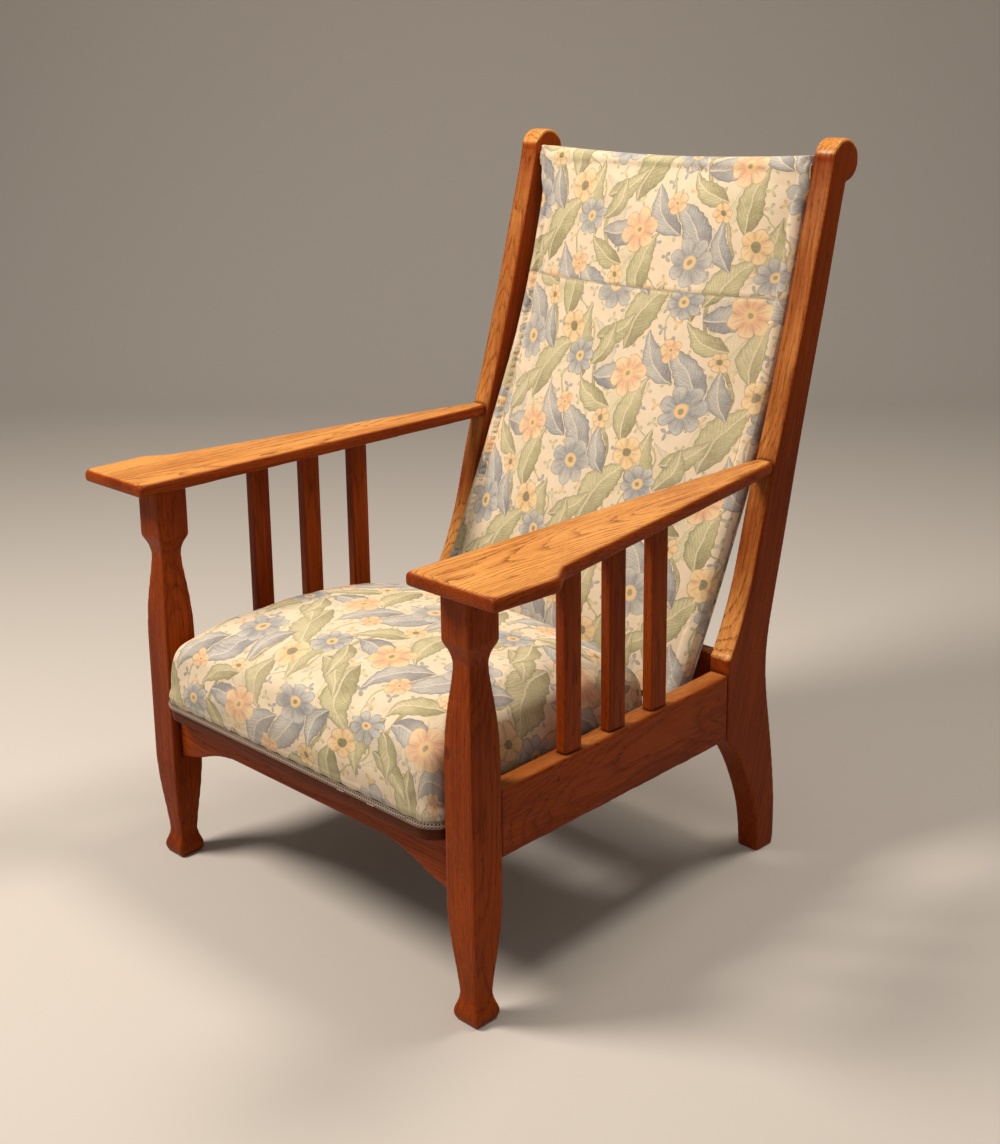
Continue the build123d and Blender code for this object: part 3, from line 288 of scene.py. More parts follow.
# ------------------------------------------------------------------ finishes
@dataclass(frozen=True)
class OakFinish:
    """Old oak under worn wax polish, read from a board's own grain coordinates."""

    name: str
    pale: Colour = (0.305, 0.052, 0.005)
    brown: Colour = (0.148, 0.019, 0.002)
    deep: Colour = (0.038, 0.006, 0.002)
    # colours of the tops: real bleaching with painted top light
    bleached_lit_pale: Colour = (0.77, 0.345, 0.088)
    bleached_lit_brown: Colour = (0.40, 0.128, 0.024)
    bleached_lit_deep: Colour = (0.115, 0.026, 0.006)
    roughness: float = 0.36
    ring_pitch: float = 0.0036
    coat: float = 0.02
    rubbed_coat: float = 0.14        # what handling adds on the pale tops, bleached and painted as lit, and on the arrises
    specular: float = 0.06

    def make(self) -> bpy.types.Material:
        """Build the oak.

        Returns:
            The material.
        """
        g = Graph(self.name)
        board = g.attribute("grain")
        wear, soil, fade = g.amount("wear"), g.amount("soil"), g.amount("fade")
        across, radial = board.part(1), board.part(2)
        blotch = g.noise(board, (7.0, 24.0, 24.0), 2.0)
        # painted top light with some real bleaching: faces that turn up are mixed toward the paler colours
        bleach_and_top_light = (fade * 1.30 - 0.20 + (blotch - 0.5) * 0.7 * fade).step(0.0, 1.0)
        pale = g.mix(bleach_and_top_light, self.pale, self.bleached_lit_pale)
        brown = g.mix(bleach_and_top_light, self.brown, self.bleached_lit_brown)
        deep = g.mix(bleach_and_top_light, self.deep, self.bleached_lit_deep)

        # rings about a heart that lies off the board
        drift = g.noise(board, (3.0, 10.0, 10.0), 1.5) - 0.5
        wobble = g.noise(board, (16.0, 90.0, 90.0), 2.0) - 0.5
        radius = (across * across + radial * radial).root() + drift * 0.036 + wobble * 0.0034
        phase = (radius / self.ring_pitch).fraction()
        line = phase.step(0.42, 0.02) * phase.step(-0.02, 0.03)
        broken = g.noise(board, (22.0, 420.0, 420.0), 2.0).step(0.40, 0.60)
        pores = g.noise(board, (75.0, 1000.0, 1000.0), 1.0).step(0.56, 0.66) * (line * 0.75 + 0.25)
        streak = g.noise(board, (5.0, 250.0, 250.0), 3.0)
        cloud = g.noise(board, (1.8, 12.0, 12.0), 2.0)
        fleck = (g.noise(board, (150.0, 900.0, 40.0), 2.0, 0.4).step(0.56, 0.63)
                 * g.noise(board, (8.0, 34.0, 34.0), 1.0).step(0.38, 0.60))
        tone = (streak - 0.5) * 1.15 + (cloud - 0.5) * 1.2 + (blotch - 0.5) * 0.6 + 0.56
        colour = g.mix(tone.step(0.0, 1.0), brown, pale)
        colour = g.mix(line * (broken * 0.66 + 0.18) * (bleach_and_top_light * 0.30 + 0.70), colour, brown)
        colour = g.mix(line * broken * (bleach_and_top_light * 0.42 + 0.10), colour, deep)
        colour = g.mix(fleck * 0.40, colour, pale)
        colour = g.mix(pores * 0.70, colour, deep)
        scuff = g.noise(board, 60.0, 3.0)
        rubbed = wear * scuff.step(0.34, 0.64)
        colour = g.mix(rubbed * 0.34, colour, pale)
        bruise = g.noise(board, (24.0, 90.0, 90.0), 2.0).step(0.68, 0.78) * 0.55
        colour = g.mix((soil * 0.62 + bruise).at_most(0.8), colour, deep)
        nail = g.attribute("nail")
        hole = (nail.part(1) * nail.part(1) + nail.part(2) * nail.part(2) + nail.part(0) * nail.part(0)).root()
        colour = g.mix(hole.step(0.0024, 0.0013) * 0.85, colour, (0.012, 0.005, 0.003))
        rough = (pores * 0.20 - fleck * 0.07 + (scuff - 0.5) * 0.16 + (cloud - 0.5) * 0.16 - rubbed * 0.05
                 + self.roughness)
        height = (pores * -1.0 + line * -0.30 + fleck * 0.15 + scuff * 0.35 + blotch * 0.6
                  + g.noise(board, (30.0, 700.0, 700.0), 2.0) * 0.35)
        return g.finish(colour, rough, height, 0.00025, Coat_Weight=(bleach_and_top_light + wear) * self.rubbed_coat + self.coat,
                        Coat_Roughness=0.16, Specular_IOR_Level=self.specular)


@dataclass(frozen=True)
class TimberFinish:
    """Plain sawn timber of the hidden frames."""

    name: str
    pale: Colour = (0.50, 0.33, 0.17)
    dark: Colour = (0.30, 0.17, 0.075)

    def make(self) -> bpy.types.Material:
        """Build the timber.

        Returns:
            The material.
        """
        g = Graph(self.name)
        place = g.place()
        streak = g.noise(place, (220.0, 9.0, 220.0), 3.0)
        saw = g.noise(place, (40.0, 420.0, 40.0), 1.0)
        colour = g.mix(streak.step(0.3, 0.7), self.dark, self.pale)
        return g.finish(colour, (streak - 0.5) * 0.1 + 0.72, saw + streak, 0.0003)


@dataclass(frozen=True)
class WebbingFinish:
    """Herringbone jute webbing."""

    name: str
    light: Colour = (0.46, 0.35, 0.20)
    dark: Colour = (0.24, 0.165, 0.085)

    def make(self) -> bpy.types.Material:
        """Build the webbing.

        Returns:
            The material.
        """
        g = Graph(self.name)
        place = g.place()
        x, y = place.part(0), place.part(1)
        ribs = (x * 2100.0).sine() * (y * 1500.0).sine()
        slub = g.noise(place, 160.0, 3.0)
        colour = g.mix((ribs * 0.3 + slub).step(0.25, 0.85), self.dark, self.light)
        return g.finish(colour, 0.9, ribs * 0.6 + slub, 0.0004)


@dataclass(frozen=True)
class ClothFinish:
    """Plain woven lining cloth."""

    name: str
    colour: Colour = (0.030, 0.028, 0.027)
    pitch: float = 0.0011

    def make(self) -> bpy.types.Material:
        """Build the cloth.

        Returns:
            The material.
        """
        g = Graph(self.name)
        place = g.place()
        turns = 2.0 * math.pi / self.pitch
        weave = (place.part(0) * turns).sine() * (place.part(1) * turns).sine()
        dust = g.noise(place, 22.0, 3.0)
        colour = g.mix(dust.step(0.45, 0.85) * 0.35, self.colour, (0.16, 0.145, 0.13))
        return g.finish(colour, 0.92, weave * 0.5 + dust, 0.0003)


@dataclass(frozen=True)
class BraidFinish:
    """Cotton gimp of the seat's lower edge."""

    name: str
    light: Colour = (0.46, 0.345, 0.270)
    dark: Colour = (0.10, 0.068, 0.050)

    def make(self) -> bpy.types.Material:
        """Build the braid's cord.

        Returns:
            The material.
        """
        g = Graph(self.name)
        place = g.place()
        strand = g.noise(place, (1500.0, 1500.0, 900.0), 2.0)
        grime = g.noise(place, (14.0, 14.0, 60.0), 3.0)
        # painted shade: the parts of the loops that lie back toward the frame are darker
        proud = g.amount("proud")
        shade = proud * 0.62 + strand * 0.35 + grime * 0.35
        colour = g.mix(shade.step(0.30, 0.95), self.dark, self.light)
        return g.finish(colour, 0.85, strand, 0.0003)


@dataclass(frozen=True)
class MetalFinish:
    """Dull metal of the hidden fittings."""

    name: str
    bright: Colour
    tarnish: Colour
    roughness: float = 0.42

    def make(self) -> bpy.types.Material:
        """Build the metal.

        Returns:
            The material.
        """
        g = Graph(self.name)
        place = g.place()
        spots = g.noise(place, 90.0, 4.0)
        brush = g.noise(place, (60.0, 1400.0, 1400.0), 2.0)
        colour = g.mix(spots.step(0.42, 0.68), self.bright, self.tarnish)
        return g.finish(colour, spots * 0.25 + brush * 0.12 + self.roughness - 0.15, brush, 0.00008, Metallic=0.9)


class Print:
    """Trailing stems, plain leaves and open blossoms, drawn on a cloth's own flat coordinates."""

    width = 0.178            # from one stem to the next
    repeat = 0.284           # along a stem
    drop = 0.105             # each stem starts this much further along than the last
    sway = 0.036             # a stem's swing to each side

    def __init__(self, graph: Graph, cloth: Vec) -> None:
        """Push the cloth's coordinates about a little, as a hand-cut print is."""
        self.g = graph
        wander = graph.noise(cloth, 24.0, 2.0)
        other = graph.noise(cloth + (3.1, 7.7, 0.0), 24.0, 2.0)
        self.u = cloth.part(0) + (wander - 0.5) * 0.014
        self.v = cloth.part(1) + (other - 0.5) * 0.014
        self.edge = (graph.noise(cloth, 520.0, 2.0) - 0.5) * 0.0016

    def local(self, at_u: float, at_v: float, turn: float, pitch: tuple[float, float, float] | None = None,
              ) -> tuple[Num, Num, Num, Num]:
        """Return coordinates about the nearest copy of a motif.

        Args:
            at_u: the motif's place across.
            at_v: the motif's place along.
            turn: its turn in degrees.
            pitch: the copies' distances across and along and each column's drop, or the stems' own.

        Returns:
            The place along the motif, the place across it, and the copy's column and row.
        """
        width, repeat, drop = pitch or (self.width, self.repeat, self.drop)
        column = ((self.u - at_u) / width).nearest()
        across = self.u - at_u - column * width
        shifted = self.v - at_v - column * drop
        row = (shifted / repeat).nearest()
        up = shifted - row * repeat
        c, s = math.cos(math.radians(turn)), math.sin(math.radians(turn))
        return across * c + up * s, up * c - across * s, column, row

    def leaf(self, spec: "LeafSpec", pitch: tuple[float, float, float] | None = None) -> tuple[Num, Num, Num, Num]:
        """Draw one leaf.

        Args:
            spec: where it lies and its shape.
            pitch: the copies' distances, or the stems' own.

        Returns:
            The depth inside its edge, its midrib, its veins, and how light it is.
        """
        x, y, _, _ = self.local(spec.at_u, spec.at_v, spec.turn, pitch)
        t = x / (spec.length / 2.0)
        square = t * t
        y = y - (1.0 - square) * spec.bend
        saw = ((x - abs(y) * 0.5) * (2.0 * math.pi / spec.tooth)).sine() * (spec.breadth * 0.020)
        side = (1.0 - square).at_least(0.0) * (t * -0.35 + 1.0) * (spec.breadth / 2.0)
        depth = side - abs(y) + saw * (1.0 - square).at_least(0.0) + self.edge
        rib = abs(y).step(0.0016, 0.0006)
        veins = ((x + abs(y) * -1.25) * (4.0 * math.pi / spec.tooth)).sine().step(0.50, 0.98)
        half = y.step(-0.0006, 0.0006)
        return depth, rib, veins, t * 0.34 + half * 0.34 + 0.28

    def blossom(self, spec: "BlossomSpec") -> tuple[Num, Num, Num]:
        """Draw one open blossom.

        Args:
            spec: where it lies and its shape.

        Returns:
            The depth inside its edge, the petals' lines, and the distance from its middle as a share.
        """
        x, y, _, _ = self.local(spec.at_u, spec.at_v, spec.turn)
        away = (x * x + y * y).root()
        angle = y.angle_to(x)
        lobes = abs((angle * (spec.petals / 2.0)).cosine())
        rim = (lobes ** 0.6 * spec.notch + (1.0 - spec.notch)) * spec.radius
        share = away / spec.radius
        part = lobes.step(0.40, 0.08) * share.step(0.20, 0.50)
        lines = ((angle * (spec.petals * 3.0)).cosine().step(0.35, 0.95)
                 * share.step(0.20, 0.36) * share.step(0.95, 0.50))
        return rim - away + self.edge, part.at_least(lines * 0.62), share

    def stem(self) -> Num:
        """Return the depth inside the trailing stems."""
        column = (self.u / self.width).nearest()
        across = self.u - column * self.width
        along = (self.v - column * self.drop) * (2.0 * math.pi / self.repeat)
        line = across - along.sine() * self.sway
        slope = along.cosine() * (self.sway * 2.0 * math.pi / self.repeat)
        return abs(line / (slope * slope + 1.0).root()) * -1.0 + 0.0034 + self.edge

    def tendril(self) -> Num:
        """Return the depth inside thin tendrils that wind between the stems."""
        column = (self.u / self.width - 0.5).nearest() + 0.5
        across = self.u - column * self.width
        along = (self.v - column * self.drop) * (4.0 * math.pi / self.repeat)
        line = across - along.sine() * 0.021 - (along * 0.5).cosine() * 0.020
        slope = along.cosine() * (0.021 * 4.0 * math.pi / self.repeat)
        return abs(line / (slope * slope + 1.0).root()) * -1.0 + 0.0016 + self.edge * 0.7

    def sprigs(self) -> tuple[Num, Num, Vec]:
        """Return the depth inside small three-lobed leaves on the open ground, their ribs and their dice."""
        x, y, column, row = self.local(0.0, 0.0, 0.0, (0.0260, 0.0310, 0.0130))
        dice = self.g.random(column, row)
        x = x + (dice.part(1) - 0.5) * 0.009
        y = y + (dice.part(2) - 0.5) * 0.009
        angle = y.angle_to(x) + dice.part(0) * (2.0 * math.pi)
        away = (x * x + y * y).root()
        lobe = abs((angle * 1.5).cosine())
        return (lobe ** 1.4) * 0.0098 - away + self.edge, lobe.step(0.975, 0.995), dice


@dataclass(frozen=True)
class LeafSpec:
    """One leaf of the print: its middle, direction and size."""

    at_u: float
    at_v: float
    turn: float
    length: float
    breadth: float
    bend: float
    cool: bool = False
    tooth: float = 0.0150


@dataclass(frozen=True)
class BlossomSpec:
    """One blossom of the print: its middle, size and colours."""

    at_u: float
    at_v: float
    radius: float
    petals: int
    turn: float
    notch: float
    dark: Colour
    light: Colour
    line: Colour


@dataclass(frozen=True)
class LinenFinish:
    """Printed linen: trailing leaves and blossoms in sage, slate, ochre and peach on cream."""

    name: str
    cream: Colour = (0.82, 0.675, 0.490)
    shade: Colour = (0.74, 0.585, 0.400)
    sage: Colour = (0.335, 0.310, 0.130)
    olive: Colour = (0.150, 0.130, 0.045)
    pale_sage: Colour = (0.60, 0.545, 0.305)
    slate: Colour = (0.235, 0.265, 0.300)
    ink: Colour = (0.085, 0.095, 0.120)
    mist: Colour = (0.53, 0.515, 0.47)
    ochre: Colour = (0.80, 0.520, 0.210)
    peach: Colour = (0.80, 0.390, 0.210)
    straw: Colour = (0.84, 0.640, 0.350)
    rust: Colour = (0.42, 0.160, 0.070)

    ghosts: tuple[LeafSpec, ...] = (
        LeafSpec(0.040, 0.014, 32.0, 0.112, 0.052, 0.014), LeafSpec(-0.036, 0.088, 142.0, 0.118, 0.050, -0.012),
        LeafSpec(0.036, 0.156, 58.0, 0.104, 0.046, 0.010), LeafSpec(-0.040, 0.236, 112.0, 0.110, 0.050, -0.014),
    )
    leaves: tuple[LeafSpec, ...] = (
        LeafSpec(0.050, 0.018, 58.0, 0.132, 0.054, 0.018), LeafSpec(-0.050, 0.100, 126.0, 0.122, 0.048, -0.017, True),
        LeafSpec(0.066, 0.152, 80.0, 0.108, 0.044, 0.014), LeafSpec(-0.062, -0.034, 98.0, 0.120, 0.048, 0.017),
        LeafSpec(0.006, 0.214, 20.0, 0.096, 0.040, -0.013, True), LeafSpec(-0.022, 0.172, 152.0, 0.086, 0.036, 0.011),
        LeafSpec(0.024, 0.086, 108.0, 0.084, 0.034, 0.011, True), LeafSpec(-0.012, -0.006, 34.0, 0.086, 0.034, -0.010),
        LeafSpec(0.086, 0.240, 128.0, 0.104, 0.042, 0.014, True), LeafSpec(-0.030, 0.250, 68.0, 0.078, 0.032, -0.010),
    )

    def blossoms(self) -> tuple[BlossomSpec, ...]:
        """Return the print's blossoms."""
        return (
            BlossomSpec(-0.032, 0.058, 0.040, 7, 8.0, 0.34, self.slate, self.mist, self.ink),
            BlossomSpec(0.036, 0.206, 0.035, 6, 20.0, 0.30, self.peach, self.straw, self.rust),
            BlossomSpec(0.074, 0.088, 0.027, 5, 0.0, 0.26, self.ochre, self.straw, self.rust),
            BlossomSpec(-0.072, 0.222, 0.031, 8, 12.0, 0.36, self.slate, self.mist, self.ink),
            BlossomSpec(-0.078, 0.146, 0.019, 5, 40.0, 0.24, self.peach, self.straw, self.rust),
            BlossomSpec(0.006, 0.134, 0.017, 6, 10.0, 0.28, self.ochre, self.straw, self.rust),
        )

    def make(self) -> bpy.types.Material:
        """Build the linen.

        Returns:
            The material.
        """
        g = Graph(self.name)
        cloth = g.attribute("cloth")
        soil = g.amount("soil")
        p = Print(g, cloth)
        wash = g.noise(cloth, 42.0, 3.0)
        stipple = g.noise(cloth, 300.0, 2.0)
        shade = (wash - 0.5) * 1.9 + (stipple - 0.5) * 0.9 + 0.5
        strength = (g.noise(cloth, 95.0, 2.0).step(0.30, 0.62) * 0.6 + 0.4)
        colour = g.mix(wash.step(0.30, 0.70) * 0.55, self.cream, self.shade)

        def lay(under: Vec, depth: Num, body: "Vec | Colour", line: Colour, ink: float, cover: float = 1.0) -> Vec:
            """Lay a motif over the cloth, with a darker line round it."""
            inside = depth.step(-0.0002, 0.0005) * cover
            contour = depth.step(0.0021, 0.0011) * inside
            under = g.mix(inside, under, body)
            return g.mix(contour * strength * ink, under, line)

        # three-lobed leaves and broad pale leaves on the ground
        depth, rib, dice = p.sprigs()
        warm = g.mix(dice.part(2).step(0.45, 0.6), self.slate, self.ochre)
        tint = g.mix(dice.part(1).step(0.45, 0.55), self.pale_sage, warm)
        tint = g.mix(rib * 0.6, tint, self.olive)
        colour = lay(colour, depth, tint, self.olive, 0.5, 0.80)
        for number, spec in enumerate(self.ghosts):
            depth, rib, veins, light = p.leaf(spec)
            tint = (self.mist, self.straw) if number % 2 else (self.pale_sage, self.cream)
            body = g.mix((shade * 0.7 + light * 0.5).step(0.1, 1.0), *tint)
            body = g.mix(rib.at_least(veins * 0.5) * 0.5, body, self.sage if number % 2 == 0 else self.slate)
            colour = lay(colour, depth, body, self.sage if number % 2 == 0 else self.slate, 0.55, 0.80)

        # trailing stems, then their leaves
        colour = lay(colour, p.tendril(), g.mix(shade, self.sage, self.pale_sage), self.olive, 0.3)
        colour = lay(colour, p.stem(), g.mix(shade, self.olive, self.pale_sage), self.olive, 0.7)
        for spec in self.leaves:
            depth, rib, veins, light = p.leaf(spec)
            dark, pale, line = ((self.slate, self.mist, self.ink) if spec.cool
                                else (self.sage, self.pale_sage, self.olive))
            body = g.mix((shade * 0.60 + light * 0.80).step(0.12, 1.05), dark, pale)
            body = g.mix(light.step(0.34, 0.02) * 0.55, body, line)
            body = g.mix(depth.step(0.0085, 0.0015) * 0.40, body, line)
            body = g.mix(veins * (1.0 - rib) * 0.36, body, line)
            body = g.mix(rib * 0.62, body, self.cream)
            colour = lay(colour, depth, body, line, 0.75)

        for spec in self.blossoms():
            depth, lines, share = p.blossom(spec)
            body = g.mix((share * 0.9 + shade * 0.6 - 0.3).step(0.10, 1.0), spec.dark, spec.light)
            body = g.mix(lines * 0.60, body, spec.line)
            body = g.mix(share.step(0.32, 0.24), body, self.olive if spec.dark is self.ochre else self.ochre)
            body = g.mix(share.step(0.14, 0.09) * 0.8, body, self.olive)
            colour = lay(colour, depth, body, spec.line, 0.75)

        # thread and dye
        turns = 2.0 * math.pi / 0.00085
        warp, weft = (cloth.part(0) * turns).sine(), (cloth.part(1) * turns).sine()
        slub = g.noise(cloth, (1300.0, 55.0, 1.0), 2.0) + g.noise(cloth, (55.0, 1300.0, 1.0), 2.0) - 1.0
        colour = g.mix((slub * 0.8 + 0.14).at_least(0.0).at_most(0.5), colour, self.cream)
        fade = g.noise(cloth, 6.0, 3.0).step(0.38, 0.72)
        colour = g.mix(fade * 0.16 + 0.04, colour, self.cream)
        # painted shade with some dust: the back's seam line and the lower parts are darkened toward brown
        colour = g.mix((soil * 0.6).at_most(0.7), colour, (0.17, 0.105, 0.055))
        height = warp * weft * 0.5 + slub * 1.1 + stipple * 0.5
        return g.finish(colour, 0.86, height, 0.00018, Sheen_Weight=0.10, Sheen_Roughness=0.5,
                        Specular_IOR_Level=0.25)


class Finish(Enum):
    """The chair's finishes, by the record's material slots."""

    OAK = OakFinish("oak")
    # a darker copy of the oak for the seat's front member: painted shade of the strip under the cushion's overhang
    SHADED_OAK = OakFinish("dark_oak", (0.120, 0.026, 0.006), (0.060, 0.012, 0.004), (0.020, 0.005, 0.003),
                         (0.160, 0.040, 0.010), (0.085, 0.019, 0.006), (0.030, 0.007, 0.003), 0.42)
    TIMBER = TimberFinish("hidden_timber")
    LINEN = LinenFinish("printed_linen")
    WEBBING = WebbingFinish("jute_webbing")
    LINING = ClothFinish("lining_cloth")
    BRAID = BraidFinish("gimp_braid")
    BRONZE = MetalFinish("bronze", (0.50, 0.31, 0.12), (0.20, 0.12, 0.06))
    STEEL = MetalFinish("steel", (0.44, 0.43, 0.41), (0.17, 0.14, 0.115))

    @property
    def material(self) -> bpy.types.Material:
        """Return the finish's material, made the first time."""
        return bpy.data.materials.get(f"{self.value.name}_finish") or self.value.make()

    def dress(self, piece: bpy.types.Object) -> None:
        """Give a piece this finish alone."""
        piece.data.materials.clear()
        piece.data.materials.append(self.material)


# ------------------------------------------------------------------ meshes as arrays
def linked(name: str, data: bpy.types.ID) -> bpy.types.Object:
    """Return a new object of some data, linked to the scene."""
    made = bpy.data.objects.new(name, data)
    bpy.context.scene.collection.objects.link(made)
    return made


def settled(source: bpy.types.Object) -> bpy.types.Mesh:
    """Return a new mesh of an object as its modifiers leave it."""
    return bpy.data.meshes.new_from_object(source.evaluated_get(bpy.context.evaluated_depsgraph_get()))


@dataclass
class Skin:
    """A closed mesh as arrays, between Blender's tools."""

    points: np.ndarray
    faces: np.ndarray
    pitch: float
    edges: np.ndarray = field(init=False)

    def __post_init__(self) -> None:
        """Work out the edges, each once."""
        f = self.faces
        pairs = np.vstack([f[:, [i, (i + 1) % f.shape[1]]] for i in range(f.shape[1])])
        self.edges = np.unique(np.sort(pairs, axis=1), axis=0)

    @classmethod
    def voxelled(cls, source: bpy.types.Object, pitch: float) -> "Skin":
        """Remesh a closed object into even quads.

        Args:
            source: a closed mesh object, which is left as it is.
            pitch: the size of the quads.

        Returns:
            The remeshed skin.
        """
        copy = linked("remesh_work", source.data.copy())
        tidy = bmesh.new()
        tidy.from_mesh(copy.data)
        bmesh.ops.remove_doubles(tidy, verts=tidy.verts, dist=0.00002)
        tidy.to_mesh(copy.data)
        tidy.free()
        modifier = copy.modifiers.new("even", "REMESH")
        modifier.mode = "VOXEL"
        modifier.voxel_size = pitch
        bpy.context.view_layer.update()
        mesh = settled(copy)
        skin = cls.read(mesh, pitch)
        bpy.data.meshes.remove(mesh)
        bpy.data.objects.remove(copy)
        return skin

    @classmethod
    def read(cls, mesh: bpy.types.Mesh, pitch: float) -> "Skin":
        """Read a mesh of quads.

        Args:
            mesh: the mesh.
            pitch: the size of its quads.

        Returns:
            The skin.
        """
        points = np.empty(len(mesh.vertices) * 3)
        mesh.vertices.foreach_get("co", points)
        loops = np.empty(len(mesh.loops), np.int64)
        mesh.loops.foreach_get("vertex_index", loops)
        return cls(points.reshape(-1, 3), loops.reshape(-1, 4), pitch)

    def spread(self, values: np.ndarray) -> np.ndarray:
        """Return the mean of each point's neighbours.

        Args:
            values: one row for each point.

        Returns:
            The means, in the same form.
        """
        a, b = self.edges[:, 0], self.edges[:, 1]
        count = len(self.points)
        degree = np.bincount(a, minlength=count) + np.bincount(b, minlength=count)
        flat = values.reshape(count, -1)
        total = np.stack([np.bincount(a, flat[b, i], count) + np.bincount(b, flat[a, i], count)
                          for i in range(flat.shape[1])], axis=1)
        return (total / np.maximum(degree, 1)[:, None]).reshape(values.shape)

    def soften(self, turns: int, keep: float = 0.0) -> None:
        """Smooth the skin, with as much shrinkage given back as asked.

        Args:
            turns: how many passes.
            keep: how much each pass gives back, from 0 to 1.
        """
        for _ in range(turns):
            self.points += 0.5 * (self.spread(self.points) - self.points)
            if keep:
                self.points -= 0.5 * keep * (self.spread(self.points) - self.points)

    def normals(self) -> np.ndarray:
        """Return each point's outward normal."""
        a, b, c, d = (self.points[self.faces[:, i]] for i in range(4))
        face = np.cross(c - a, d - b)
        total = np.zeros_like(self.points)
        for i in range(4):
            for axis in range(3):
                total[:, axis] += np.bincount(self.faces[:, i], face[:, axis], len(self.points))
        return total / np.maximum(np.linalg.norm(total, axis=1), 1e-12)[:, None]

    def bending(self) -> np.ndarray:
        """Return each point's curvature per metre, positive on an arris and negative in a hollow."""
        pull = self.spread(self.points) - self.points
        return -4.0 * np.einsum("ij,ij->i", pull, self.normals()) / self.pitch ** 2

    def make(self, name: str, attributes: dict[str, np.ndarray]) -> bpy.types.Object:
        """Make an object of the skin.

        Args:
            name: the piece's name.
            attributes: values for each point, one or three numbers each.

        Returns:
            The object, smooth shaded.
        """
        mesh = bpy.data.meshes.new(name)
        mesh.from_pydata(self.points.tolist(), [], self.faces.tolist())
        mesh.polygons.foreach_set("use_smooth", np.ones(len(mesh.polygons), bool))
        for key, values in attributes.items():
            vector = values.ndim == 2
            layer = mesh.attributes.new(key, "FLOAT_VECTOR" if vector else "FLOAT", "POINT")
            layer.data.foreach_set("vector" if vector else "value", values.astype(np.float32).ravel())
        mesh.update()
        return linked(name, mesh)


def ramp(values: np.ndarray, low: float, high: float) -> np.ndarray:
    """Return a soft step from 0 at low to 1 at high.

    Args:
        values: where it is read.
        low: where it is 0.
        high: where it is 1.

    Returns:
        The step's values.
    """
    t = np.clip((values - low) / (high - low), 0.0, 1.0)
    return t * t * (3.0 - 2.0 * t)


# ------------------------------------------------------------------ the oak frame
class Cut(Enum):
    """How a board was cut from the log: along, across and out from the heart."""

    UPRIGHT_QUARTER = ((0, 0, 1), (0, 1, 0), (1, 0, 0))
    DEEP_FLAT = ((0, 1, 0), (1, 0, 0), (0, 0, 1))
    DEEP_SIDE = ((0, 1, 0), (0, 0, 1), (1, 0, 0))
    WIDE_FLAT = ((1, 0, 0), (0, 0, 1), (0, 1, 0))
    LEANING = ((0, 0.235, 0.972), (1, 0, 0), (0, -0.972, 0.235))


@dataclass(frozen=True)
class Board:
    """One visible oak piece: its node, how it was cut and how finely it is remade."""

    node: str
    cut: Cut
    heart: float
    pitch: float = 0.0022
    body: str = "chair_frame"
    finish: Finish = Finish.OAK
    slot: str = "oak"
    arris_turns: int = 3
    paling_turns: int = 8              # how far the pale top, bleached and painted as lit, blends into the sides
    border: float = 0.0              # how much of that blend stays dark along the edges: painted shade where the rounding turns from the light, with worn stain
    bleach_and_top_light: float = 0.45             # how pale its top is painted: bleaching with painted top light
    nail: Place | None = None        # an old nail's hole


